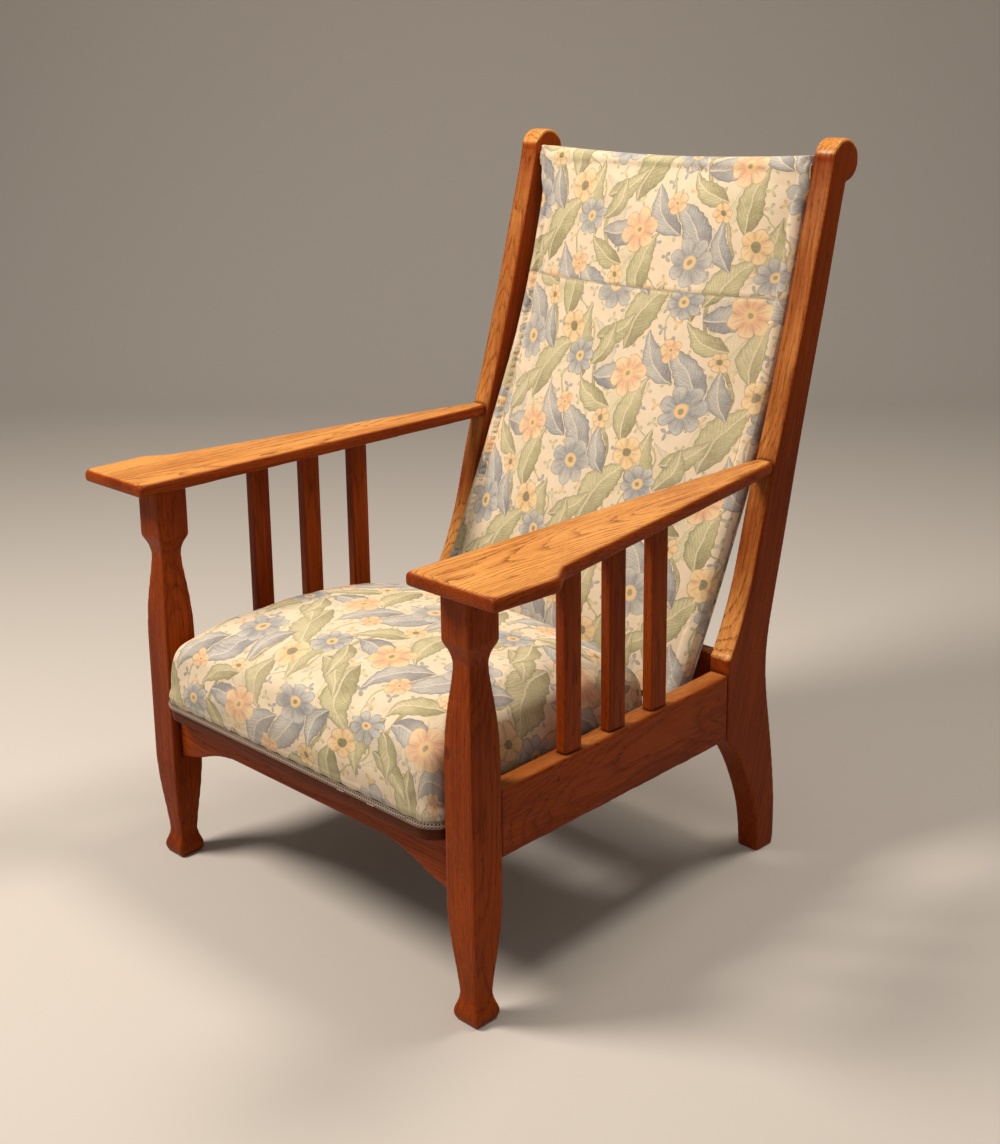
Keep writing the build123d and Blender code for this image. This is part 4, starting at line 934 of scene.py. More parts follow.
@dataclass
class OakFrame:
    """Every visible oak piece, remade in even quads with worn arrises."""

    seed: int = 11
    arris_low: float = 70.0          # curvature per metre where an arris starts to wear
    arris_high: float = 330.0
    grime: float = 0.0022            # how far from a joint the grime reaches
    trees: dict[str, BVHTree] = field(default_factory=dict)
    boards: list[Board] = field(default_factory=lambda: [
        *[Board(f"front_leg_{s}", Cut.UPRIGHT_QUARTER, 0.055, 0.002) for s in ("left", "right")],
        # the posts' fronts and the arms' tops carry strong painted top light
        *[Board(f"rear_post_{s}", Cut.LEANING, 0.070, 0.0023, arris_turns=5, bleach_and_top_light=2.2) for s in ("left", "right")],
        *[Board(f"arm_{s}", Cut.DEEP_FLAT, 0.045, 0.0022, arris_turns=14, paling_turns=80, border=0.42,
                bleach_and_top_light=1.0)
          for s in ("left", "right")],
        Board("side_rail_left", Cut.DEEP_SIDE, 0.080, 0.0024, nail=(0.3385, -0.2337, 0.2828)),
        Board("side_rail_right", Cut.DEEP_SIDE, 0.080, 0.0024),
        *[Board(f"slat_{s}_{n}", Cut.UPRIGHT_QUARTER, 0.050, 0.0018) for s in ("left", "right") for n in (1, 2, 3)],
        Board("front_rail", Cut.WIDE_FLAT, 0.060, 0.0022),
        Board("rear_cross_rail", Cut.WIDE_FLAT, 0.060, 0.0026),
        # its darker oak is painted shade under the cushion
        Board("seat_front_member", Cut.WIDE_FLAT, 0.050, 0.0024, "sliding_seat", Finish.SHADED_OAK, "dark_oak"),
    ])

    def grain(self, points: np.ndarray, board: Board, rng: np.random.Generator) -> np.ndarray:
        """Return where each point lies in the log that its board was cut from.

        Args:
            points: the board's points.
            board: the board.
            rng: draws for its place in the log.

        Returns:
            Places along, across and out from the heart.
        """
        axes = np.array(board.cut.value, float)
        local = (points - points.mean(0)) @ axes.T
        lean, roll = rng.uniform(-0.016, 0.016, 2)
        local[:, 1] += local[:, 0] * lean
        local[:, 2] += local[:, 0] * roll
        swing = rng.uniform(-0.35, 0.35)
        c, s = math.cos(swing), math.sin(swing)
        across, out = local[:, 1] * c - local[:, 2] * s, local[:, 1] * s + local[:, 2] * c
        sign = rng.choice([-1.0, 1.0])
        return np.stack([local[:, 0] + rng.uniform(0, 9), across + rng.uniform(-0.012, 0.012),
                         out * sign + board.heart * rng.uniform(0.8, 1.5)], axis=1)

    def joint_grime(self, points: np.ndarray, board: Board) -> np.ndarray:
        """Return how dirty each point is from lying by a neighbour's face.

        Args:
            points: the board's points.
            board: the board.

        Returns:
            From 0, clean, to 1, in the joint.
        """
        dirt = np.zeros(len(points))
        margin = self.grime * 2
        for other in self.boards:
            if other.node == board.node:
                continue
            low, high = (np.array(corner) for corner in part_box(other.node))
            near = np.nonzero(np.all((points > low - margin) & (points < high + margin), axis=1))[0]
            if not len(near):
                continue
            if other.node not in self.trees:
                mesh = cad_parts[other.node].data
                self.trees[other.node] = BVHTree.FromPolygons([v.co for v in mesh.vertices],
                                                              [tuple(f.vertices) for f in mesh.polygons])
            tree = self.trees[other.node]
            for index in near:
                gap = tree.find_nearest(points[index], margin)[3]
                if gap is not None:
                    dirt[index] = max(dirt[index], 1.0 - gap / margin)
        return ramp(dirt, 0.25, 0.9)

    def remake(self, board: Board, rng: np.random.Generator) -> bpy.types.Object:
        """Build one board.

        Args:
            board: what to build.
            rng: draws for its grain.

        Returns:
            The piece.
        """
        skin = Skin.voxelled(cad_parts[board.node], board.pitch)
        skin.soften(board.arris_turns, 0.25)
        bend = skin.spread(skin.bending())
        wear = ramp(bend, self.arris_low, self.arris_high)
        # on the oak this holds real soil only: dirt in the hollows and by the joints
        soil = ramp(-bend, self.arris_low, self.arris_high)
        for _ in range(2):
            soil = 0.5 * (np.maximum(soil, skin.spread(soil)) + skin.spread(soil))
        soil = np.maximum(soil, self.joint_grime(skin.points, board))
        # painted top light with some bleaching: faces that turn up, blended into the sides
        fade = ramp(skin.normals()[:, 2], 0.0, 0.90)
        for _ in range(board.paling_turns):
            fade = 0.5 * (fade + skin.spread(fade))
        if board.border:
            fade = ramp(fade, board.border, 1.0 - 0.25 * board.border)
        nail = skin.points - np.array(board.nail or (9.0, 9.0, 9.0))
        piece = skin.make(f"{board.node}_oak", {"grain": self.grain(skin.points, board, rng), "wear": wear,
                                                "soil": soil, "fade": board.bleach_and_top_light * fade, "nail": nail})
        board.finish.dress(piece)
        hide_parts(board.node)
        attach(piece, board.body)
        return piece

    def build(self) -> None:
        """Build every board and report it."""
        for number, board in enumerate(self.boards):
            piece = self.remake(board, np.random.default_rng(self.seed + number))
            log.info("%s: %d quads", piece.name, len(piece.data.polygons))


# ------------------------------------------------------------------ stuffed pieces
def tacks(run: np.ndarray, pitch: float) -> np.ndarray:
    """Return how much a cover is drawn in by its tacks, from 0 between two of them to 1.

    Args:
        run: places along the cover's edge.
        pitch: from one tack to the next.

    Returns:
        The share of the pull at each place.
    """
    return 0.5 - 0.5 * np.cos(run * 2 * math.pi / pitch)


def inflate(skin: Skin, pins: np.ndarray, pressure: float, cap: float, frames: int = 20) -> None:
    """Blow a skin up as cloth, and keep each point within a cap of its start.

    Args:
        skin: the skin, which is changed.
        pins: how firmly each point is held, from 0 to 1.
        pressure: the cloth's inner pressure.
        cap: how far a point may move.
        frames: how many steps to run.
    """
    start = skin.points.copy()
    piece = skin.make("cloth_work", {})
    group = piece.vertex_groups.new(name="held")
    for index in np.nonzero(pins > 0.01)[0]:
        group.add([int(index)], float(pins[index]), "REPLACE")
    modifier = piece.modifiers.new("cloth", "CLOTH")
    cloth = modifier.settings
    cloth.quality = 5
    cloth.mass = 0.35
    cloth.tension_stiffness = cloth.compression_stiffness = 14.0
    cloth.shear_stiffness = 5.0
    cloth.bending_stiffness = 0.6
    cloth.use_pressure = True
    cloth.uniform_pressure_force = pressure
    cloth.vertex_group_mass = "held"
    cloth.effector_weights.gravity = 0.0
    modifier.point_cache.frame_start, modifier.point_cache.frame_end = 1, frames
    scene = bpy.context.scene
    for number in range(1, frames + 1):
        scene.frame_set(number)
    mesh = settled(piece)
    moved = Skin.read(mesh, skin.pitch).points - start
    bpy.data.meshes.remove(mesh)
    bpy.data.objects.remove(piece)
    scene.frame_set(1)
    size = np.linalg.norm(moved, axis=1)
    skin.points = start + moved * (cap * np.tanh(size / cap) / np.maximum(size, 1e-9))[:, None]


def refine(skin: Skin) -> Skin:
    """Subdivide a skin smoothly, once.

    Args:
        skin: the skin.

    Returns:
        The finer skin.
    """
    work = skin.make("refine_work", {})
    modifier = work.modifiers.new("finer", "SUBSURF")
    modifier.levels = modifier.render_levels = 1
    bpy.context.view_layer.update()
    mesh = settled(work)
    finer = Skin.read(mesh, skin.pitch / 2)
    bpy.data.meshes.remove(mesh)
    bpy.data.objects.remove(work)
    return finer


@dataclass(frozen=True)
class SeatPlan:
    """The seat frame's outline from above: straight sides that narrow to the rear, and round front corners."""

    front: float = LEG_FRONT - 0.014
    straight: float = LEG_FRONT + 0.060      # y from which the sides narrow
    rear: float = LEG_FRONT + 0.418
    half: float = 0.2918
    half_rear: float = 0.2814
    corner: float = 0.030

    def outside(self, points: np.ndarray) -> np.ndarray:
        """Return how far each point lies outside the outline.

        Args:
            points: places in the chair's frame.

        Returns:
            Distances, negative inside.
        """
        x, y = np.abs(points[:, 0]), points[:, 1]
        dx = x - np.interp(y, [self.straight, self.rear], [self.half, self.half_rear])
        dy = self.front - y
        round_off = np.hypot(np.maximum(dx + self.corner, 0.0), np.maximum(dy + self.corner, 0.0)) - self.corner
        return np.where((dx > -self.corner) & (dy > -self.corner), round_off, np.maximum(dx, dy))

    def line(self, rear: float) -> list[tuple[float, float]]:
        """Return the outline from one rear corner round the front to the other.

        Args:
            rear: the y at which it starts and ends.

        Returns:
            Its points.
        """
        turn = np.linspace(0.0, math.pi / 2, 12)
        side = [(self.half_rear, rear), (self.half, self.straight)]
        side += [(self.half - self.corner + self.corner * math.cos(a),
                  self.front + self.corner - self.corner * math.sin(a)) for a in turn]
        return side + [(-x, y) for x, y in reversed(side)]


SEAT_PLAN = SeatPlan()


@dataclass
class StuffedSeat:
    """The sliding seat's crowned cushion and its cover."""

    pitch: float = 0.005
    shrink: float = 0.004
    cap: float = 0.009
    pressure: float = 4.0
    base: float = 0.262              # top of the seat frame
    core: float = 0.040              # the cover turns down this far inside the plan
    tack_pitch: float = 0.034
    tack_depth: float = 0.0014
    turn_under: float = 0.0065       # how far the cover comes down behind the braid
    wrap: float = 0.0013             # how far it stands off the frame's face there
    swell: float = 0.0016            # how much further it comes out above the braid
    corner_fill: float = 0.0105      # how much the front corners are filled
    settle: float = 0.0025

    def build(self) -> None:
        """Build the cushion from its solid."""
        skin = Skin.voxelled(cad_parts["seat_cushion"], self.pitch)
        skin.soften(4, 0.6)
        inward = ramp(skin.points[:, 2], self.base + 0.004, self.base + 0.03)
        skin.points -= skin.normals() * (self.shrink * inward)[:, None]
        pins = 1.0 - ramp(skin.points[:, 2], self.base + 0.003, self.base + 0.012)
        inflate(skin, pins, self.pressure, self.cap)
        skin = refine(skin)
        skin.soften(2, 0.5)
        low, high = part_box("seat_cushion")
        p = skin.points
        self.square_up(p)
        # the cover is drawn in at each tack along its lower edge
        run = np.where(np.abs(p[:, 1] - low.y) < 0.03, p[:, 0], p[:, 1])
        pull = tacks(run, self.tack_pitch) * (1 - ramp(p[:, 2], self.base + 0.006, self.base + 0.042))
        sides = 1.0 - np.abs(skin.normals()[:, 2])
        p -= skin.normals() * (pull * sides * self.tack_depth)[:, None]
        # its hem lies over the frame's top edge and comes down its face
        out = SEAT_PLAN.outside(p)
        low_down = 1.0 - ramp(p[:, 2], self.base + 0.010, self.base + 0.024)
        stand = self.wrap + self.swell * ramp(p[:, 2], self.base + 0.0076, self.base + 0.0105)
        hem = ramp(out, -0.0040, -0.0005) * (1.0 - ramp(p[:, 2], self.base + 0.001, self.base + 0.012))
        push = np.maximum(0.0, stand - out) * ramp(out, -0.0060, -0.0025) * low_down
        step = 0.0005
        ahead = [SEAT_PLAN.outside(p + np.array(shift)) - SEAT_PLAN.outside(p - np.array(shift))
                 for shift in ((step, 0.0, 0.0), (0.0, step, 0.0))]
        for axis, rise in enumerate(ahead):
            p[:, axis] += push * rise / (2 * step)
        p[:, 2] -= self.turn_under * hem
        piece = skin.make("seat_cover", {"cloth": self.lay(skin, low, high), "soil": self.soil(skin)})
        Finish.LINEN.dress(piece)
        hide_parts("seat_cushion")
        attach(piece, "sliding_seat")
        log.info("%s: %d quads", piece.name, len(piece.data.polygons))

    def square_up(self, points: np.ndarray) -> None:
        """Fill the upper sides and the front corners, and settle the middle a little.

        Args:
            points: the cushion's points, which are changed.
        """
        side = ramp(np.abs(points[:, 0]), 0.15, 0.265)
        front = 1.0 - 0.60 * ramp(points[:, 1], LEG_FRONT, LEG_FRONT + 0.30)
        rear = 1.0 - ramp(points[:, 1], LEG_FRONT + 0.34, LEG_FRONT + 0.41)
        upper = ramp(points[:, 2], self.base + 0.018, self.base + 0.075)
        points[:, 2] += upper * (self.corner_fill * side * front * rear - self.settle * (1.0 - side))

    def lay(self, skin: Skin, low: Vector, high: Vector) -> np.ndarray:
        """Return where each point lies on the flat cover.

        Args:
            skin: the cushion.
            low: the cushion's lowest corner.
            high: its highest corner.

        Returns:
            Places across and along the flat cloth.
        """
        p = skin.points
        inner = np.clip(p[:, :2], [low.x + self.core, low.y + self.core], [high.x - self.core, high.y - self.core])
        away = p[:, :2] - inner
        reach = np.linalg.norm(away, axis=1)
        toward = away / np.maximum(reach, 1e-9)[:, None]
        rim = high.z - 0.036 - 0.030 * (np.abs(p[:, 0]) / high.x) ** 3
        drop = np.maximum(0.0, rim - p[:, 2]) * ramp(reach, 0.0, self.core * 0.6)
        flat = p[:, :2] + toward * drop[:, None]
        return np.stack([flat[:, 0] + 0.31, -flat[:, 1] * 1.04 + 0.12, np.zeros(len(p))], axis=1)

    def soil(self, skin: Skin) -> np.ndarray:
        """Return how dusty each point is: the lower edge and the worn front."""
        low = skin.points[:, 2] - self.base
        return 0.35 * (1.0 - ramp(low, 0.0, 0.02)) + 0.20 * (1.0 - ramp(low, 0.01, 0.095))


@dataclass
class StuffedBack:
    """The hinged back: one stuffed cover from the bottom rail over the top rail, and an outer cover."""

    pitch: float = 0.005
    cap: float = 0.008
    pressure: float = 4.0
    half: float = 0.2646
    wide_half: float = 0.2726
    wide_from: float = 0.950
    wide_to: float = 0.980
    crown: float = 0.030
    crown_end: float = 0.003
    crown_power: float = 0.5
    corner: float = 0.0195
    depth: float = 0.030             # from the front edge to the stiles' rear face
    foot: float = 0.2690
    top: float = 0.9990
    pivot: tuple[float, float] = (0.3804, 1.004)
    roll_half: float = 0.2736
    roll_depth: float = 0.0175
    roll_middle: float = 0.0145
    roll_end: float = 0.0240
    roll_power: float = 1.7
    seam: float = 0.822              # level seam across the cover
    seam_depth: float = 0.0013
    tack_pitch: float = 0.036
    tack_depth: float = 0.0008
    outer_half: float = 0.2640       # the outer cover's half width, ends and place behind the front edge
    outer_ends: tuple[float, float] = (0.2700, 0.9905)
    outer_behind: float = 0.0312
    outer_thick: float = 0.0014
    # setback and height of the back's front edge
    edge: tuple[tuple[float, float], ...] = (
        (0.4685, 0.264), (0.474, 0.275), (0.491, 0.309), (0.508, 0.343), (0.528, 0.382), (0.555, 0.437),
        (0.581, 0.493), (0.601, 0.536), (0.620, 0.580), (0.638, 0.621), (0.655, 0.660), (0.680, 0.720),
        (0.703, 0.786), (0.723, 0.852), (0.740, 0.919), (0.7505, 0.970), (0.753, 0.984), (0.7535, 1.010))

    def front(self, height: np.ndarray) -> np.ndarray:
        """Return the y of the back's front edge at a height."""
        table = np.array(self.edge)
        return LEG_FRONT + np.interp(height, table[:, 1], table[:, 0])

    def half_at(self, height: np.ndarray) -> np.ndarray:
        """Return the cover's half width at a height."""
        return self.half + (self.wide_half - self.half) * ramp(height, self.wide_from, self.wide_to)

    def roll_rise(self, share: float | np.ndarray) -> float | np.ndarray:
        """Return the roll's height over the pivot at a share of its half length, from 0 to 1."""
        return self.roll_middle + (self.roll_end - self.roll_middle) * share ** self.roll_power

    def length(self, height: np.ndarray) -> np.ndarray:
        """Return the length of the cover from the foot up to a height."""
        z = np.linspace(0.25, 1.02, 800)
        y = self.front(z)
        run = np.concatenate([[0.0], np.cumsum(np.hypot(np.diff(z), np.diff(y)))])
        return np.interp(height, z, run)

    def rough_shape(self) -> bpy.types.Object:
        """Return the pad and the roll over the top rail as one object of two closed meshes."""
        build = bmesh.new()
        rings = []
        for z in np.linspace(self.foot, self.top, 74):
            share = min(1.0, max(0.0, (z - 0.284) / 0.707))
            rise = self.crown * math.sin(math.pi * share) ** self.crown_power + self.crown_end
            half, y = float(self.half_at(z)), float(self.front(z))
            arc = np.linspace(-1.0, 1.0, 41)
            ring = [(x * (half - self.corner), y - rise * (1 - x * x)) for x in arc]
            turn = np.linspace(0.0, math.pi / 2, 6)[1:]
            right = [(half - self.corner + self.corner * math.sin(a), y + self.corner * (1 - math.cos(a)))
                     for a in turn]
            tail = y + self.depth
            back = [(half, tail), (half * 0.5, tail), (0.0, tail), (-half * 0.5, tail), (-half, tail)]
            left = [(-x, yy) for x, yy in reversed(right)]
            rings.append([build.verts.new((x, yy, z)) for x, yy in ring + right + back + left])
        self.skin_rings(build, rings)
        rings = []
        for share in np.linspace(-1.0, 1.0, 41):
            rise = self.roll_rise(abs(share))
            y0, z0 = self.pivot
            low = z0 - 0.0118
            ring = [(y0 - self.roll_depth, low)]
            ring += [(y0 - self.roll_depth * math.cos(a), z0 + rise * math.sin(a)) for a in np.linspace(0, math.pi, 17)]
            ring += [(y0 + self.roll_depth, low)]
            rings.append([build.verts.new((share * self.roll_half, yy, z)) for yy, z in ring])
        self.skin_rings(build, rings)
        bmesh.ops.recalc_face_normals(build, faces=build.faces)
        mesh = bpy.data.meshes.new("back_work")
        build.to_mesh(mesh)
        build.free()
        return bpy.data.objects.new("back_work", mesh)

    @staticmethod
    def skin_rings(build: bmesh.types.BMesh, rings: list[list[bmesh.types.BMVert]]) -> None:
        """Join rings of points into a closed tube."""
        for low, high in zip(rings, rings[1:]):
            for i in range(len(low)):
                j = (i + 1) % len(low)
                build.faces.new((low[i], low[j], high[j], high[i]))
        build.faces.new(rings[0])
        build.faces.new(rings[-1])

    def build(self) -> None:
        """Build the stuffed back and its outer cover."""
        rough = self.rough_shape()
        skin = Skin.voxelled(rough, self.pitch)
        bpy.data.objects.remove(rough)
        skin.soften(5, 0.6)
        p = skin.points
        behind = p[:, 1] - self.front(p[:, 2])
        skin.points -= skin.normals() * (0.003 * ramp(-behind, -0.02, 0.0))[:, None]
        pins = np.maximum(ramp(behind, 0.016, 0.024), 1.0 - ramp(p[:, 2], self.foot + 0.002, self.foot + 0.012))
        pins = np.maximum(pins, ramp(p[:, 2], 1.000, 1.010))
        inflate(skin, pins, self.pressure, self.cap)
        skin = refine(skin)
        skin.soften(2, 0.5)
        self.fill_out(skin)
        p = skin.points
        behind = p[:, 1] - self.front(p[:, 2])
        facing = ramp(-skin.normals()[:, 1], 0.1, 0.6)
        groove = np.exp(-((p[:, 2] - self.seam) / 0.0030) ** 2) - 0.45 * np.exp(-((p[:, 2] - self.seam) / 0.011) ** 2)
        skin.points -= skin.normals() * (self.seam_depth * groove * facing)[:, None]
        pull = tacks(self.length(p[:, 2]), self.tack_pitch)
        side = ramp(np.abs(skin.normals()[:, 0]), 0.5, 0.9) * ramp(behind, 0.008, 0.022)
        skin.points -= skin.normals() * (self.tack_depth * pull * side)[:, None]
        piece = skin.make("back_cover", {"cloth": self.lay(skin), "soil": self.soil(skin)})
        Finish.LINEN.dress(piece)
        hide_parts("back_cushion", "back_top_roll")
        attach(piece, "hinged_back")
        log.info("%s: %d quads", piece.name, len(piece.data.polygons))
        self.outer_cover()

    def fill_out(self, skin: Skin) -> None:
        """Press the cover out to the roll over the top rail, and over the stiles at the sides.

        Args:
            skin: the stuffed back, which is changed.
        """
        p = skin.points
        y0, z0 = self.pivot
        share = np.clip(np.abs(p[:, 0]) / self.roll_half, 0.0, 1.0)
        rise = self.roll_rise(share)
        dy, dz = (p[:, 1] - y0) / self.roll_depth, (p[:, 2] - z0) / rise
        reach = np.maximum(np.hypot(dy, np.maximum(dz, 0.0)), 1e-6)
        push = ramp(p[:, 2], z0 - 0.004, z0 + 0.003) * ramp(reach, 0.45, 0.75)
        push *= 1.0 - ramp(np.abs(skin.normals()[:, 0]), 0.25, 0.6)
        grow = 1.0 + push * (np.maximum(1.0 / reach, 1.0) - 1.0)
        p[:, 1] = y0 + (p[:, 1] - y0) * grow
        p[:, 2] = np.where(p[:, 2] > z0, z0 + (p[:, 2] - z0) * grow, p[:, 2])
        for _ in range(6):
            band = (ramp(p[:, 2], 0.984, 0.992) * (1.0 - ramp(p[:, 2], 1.006, 1.012)))[:, None]
            p += 0.5 * band * (skin.spread(p) - p)
        # the stiles' outer faces and front corners stay covered
        for _ in range(2):
            half = self.half_at(p[:, 2]) + 0.0008
            behind = p[:, 1] - self.front(p[:, 2])
            dx = np.abs(p[:, 0]) - (half - self.corner)
            dy = np.maximum(self.corner - behind, 0.0)
            radius = np.hypot(np.maximum(dx, 0.0), dy)
            facing = 1.0 - ramp(skin.normals()[:, 1], 0.3, 0.7)
            short = np.where(dx > 0.0, np.maximum(self.corner / np.maximum(radius, 1e-6), 1.0) - 1.0, 0.0) * facing
            short = np.minimum(short, 1.5)
            p[:, 0] += np.sign(p[:, 0]) * np.maximum(dx, 0.0) * short
            p[:, 1] -= dy * short
            side = ramp(np.abs(skin.normals()[:, 0]), 0.3, 0.8)[:, None]
            p += 0.35 * side * (skin.spread(p) - p)

    def lay(self, skin: Skin) -> np.ndarray:
        """Return where each point lies on the flat cover.

        Args:
            skin: the stuffed back.

        Returns:
            Places across and along the flat cloth.
        """
        p = skin.points
        z = np.minimum(p[:, 2], 1.004)
        behind = p[:, 1] - self.front(z)
        flat = self.half_at(z) - self.corner
        past = np.abs(p[:, 0]) - flat
        bent = np.where(behind < self.corner, self.corner * np.arctan2(past, self.corner - behind),
                        self.corner * (math.pi / 2 - 1.0) + behind)
        round_corner = past + (bent - past) * (1.0 - ramp(z, 0.985, 1.002))
        across = np.where(past > 0.0, np.sign(p[:, 0]) * (flat + round_corner), p[:, 0])
        y0, z0 = self.pivot
        turned = np.arctan2(p[:, 2] - z0, y0 - p[:, 1])
        over = np.where(p[:, 2] > z0, np.clip(turned, 0, math.pi) * 0.019, 0.0)
        along = self.length(z) + over
        above = ramp(p[:, 2], self.seam - 0.0006, self.seam + 0.0006)
        return np.stack([across + 0.047 * above, along + 0.061 * above, np.zeros(len(p))], axis=1)

    def soil(self, skin: Skin) -> np.ndarray:
        """Return how dusty each point is: the seam's line and the lower end."""
        p = skin.points
        line = np.exp(-((p[:, 2] - self.seam) / 0.0017) ** 2) * ramp(-skin.normals()[:, 1], 0.1, 0.6)
        low = p[:, 2] - self.foot
        return np.clip(0.55 * line + 0.3 * (1 - ramp(low, 0.0, 0.03)) + 0.18 * (1 - ramp(low, 0.0, 0.26)), 0, 1)

    def outer_cover(self) -> None:
        """Build the cloth over the back of the back."""
        half, (low, high) = self.outer_half, self.outer_ends
        columns, rows = 65, 97
        x = np.linspace(-half, half, columns)
        z = np.linspace(low, high, rows)
        grid_x, grid_z = np.meshgrid(x, z)
        y = self.front(grid_z) + self.outer_behind
        edge = np.minimum(1 - np.abs(grid_x) / half, np.minimum((grid_z - low), (high - grid_z)) / half)
        y += 0.0022 * ramp(edge, 0.0, 0.10)
        y += 0.0006 * np.sin(grid_x * 31.0) * np.sin(grid_z * 23.0) * ramp(edge, 0.0, 0.3)
        points = grid(grid_x, y, grid_z).reshape(-1, 3)
        index = np.arange(columns * rows).reshape(rows, columns)
        faces = np.stack([index[:-1, :-1], index[1:, :-1], index[1:, 1:], index[:-1, 1:]], axis=-1).reshape(-1, 4)
        skin = Skin(points, faces, 0.008)
        cloth = np.stack([-points[:, 0] + 0.8, self.length(points[:, 2]), np.zeros(len(points))], axis=1)
        piece = skin.make("outer_cover", {"cloth": cloth, "soil": np.zeros(len(points))})
        thick = piece.modifiers.new("cloth", "SOLIDIFY")
        thick.thickness = self.outer_thick
        thick.offset = 1.0
        Finish.LINEN.dress(piece)
        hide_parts("back_outer_cover")
        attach(piece, "hinged_back")
        float(self.length(high) - self.length(low))


# ------------------------------------------------------------------ webbing and lining
def grid(x: np.ndarray, y: np.ndarray, z: np.ndarray) -> np.ndarray:
    """Return a grid of points.

    Args:
        x: their x, as a row, a column or a whole grid.
        y: their y in the same way.
        z: their z in the same way.

    Returns:
        Rows and columns of points.
    """
    return np.stack(np.broadcast_arrays(x, y, z), axis=-1)


def slab(centre: np.ndarray, thick: float) -> tuple[np.ndarray, np.ndarray]:
    """Return a closed sheet about a grid of points.

    Args:
        centre: rows and columns of points, with the outer side where rows x columns points.
        thick: the sheet's thickness.

    Returns:
        The points and the quads.
    """
    rows, columns = centre.shape[:2]
    normal = np.cross(np.gradient(centre, axis=0), np.gradient(centre, axis=1))
    normal *= 0.5 * thick / np.linalg.norm(normal, axis=2)[:, :, None]
    points = np.concatenate([(centre + normal).reshape(-1, 3), (centre - normal).reshape(-1, 3)])
    top = np.arange(rows * columns).reshape(rows, columns)
    under = top + rows * columns
    face = np.stack([top[:-1, :-1], top[1:, :-1], top[1:, 1:], top[:-1, 1:]], axis=-1).reshape(-1, 4)
    back = np.stack([under[:-1, :-1], under[:-1, 1:], under[1:, 1:], under[1:, :-1]], axis=-1).reshape(-1, 4)
    rim = np.concatenate([top[:-1, 0], top[-1, :-1], top[:0:-1, -1], top[0, :0:-1]])
    ahead = np.roll(rim, -1)
    edge = np.stack([rim + rows * columns, ahead + rows * columns, ahead, rim], axis=-1)
    return points, np.concatenate([face, back, edge])


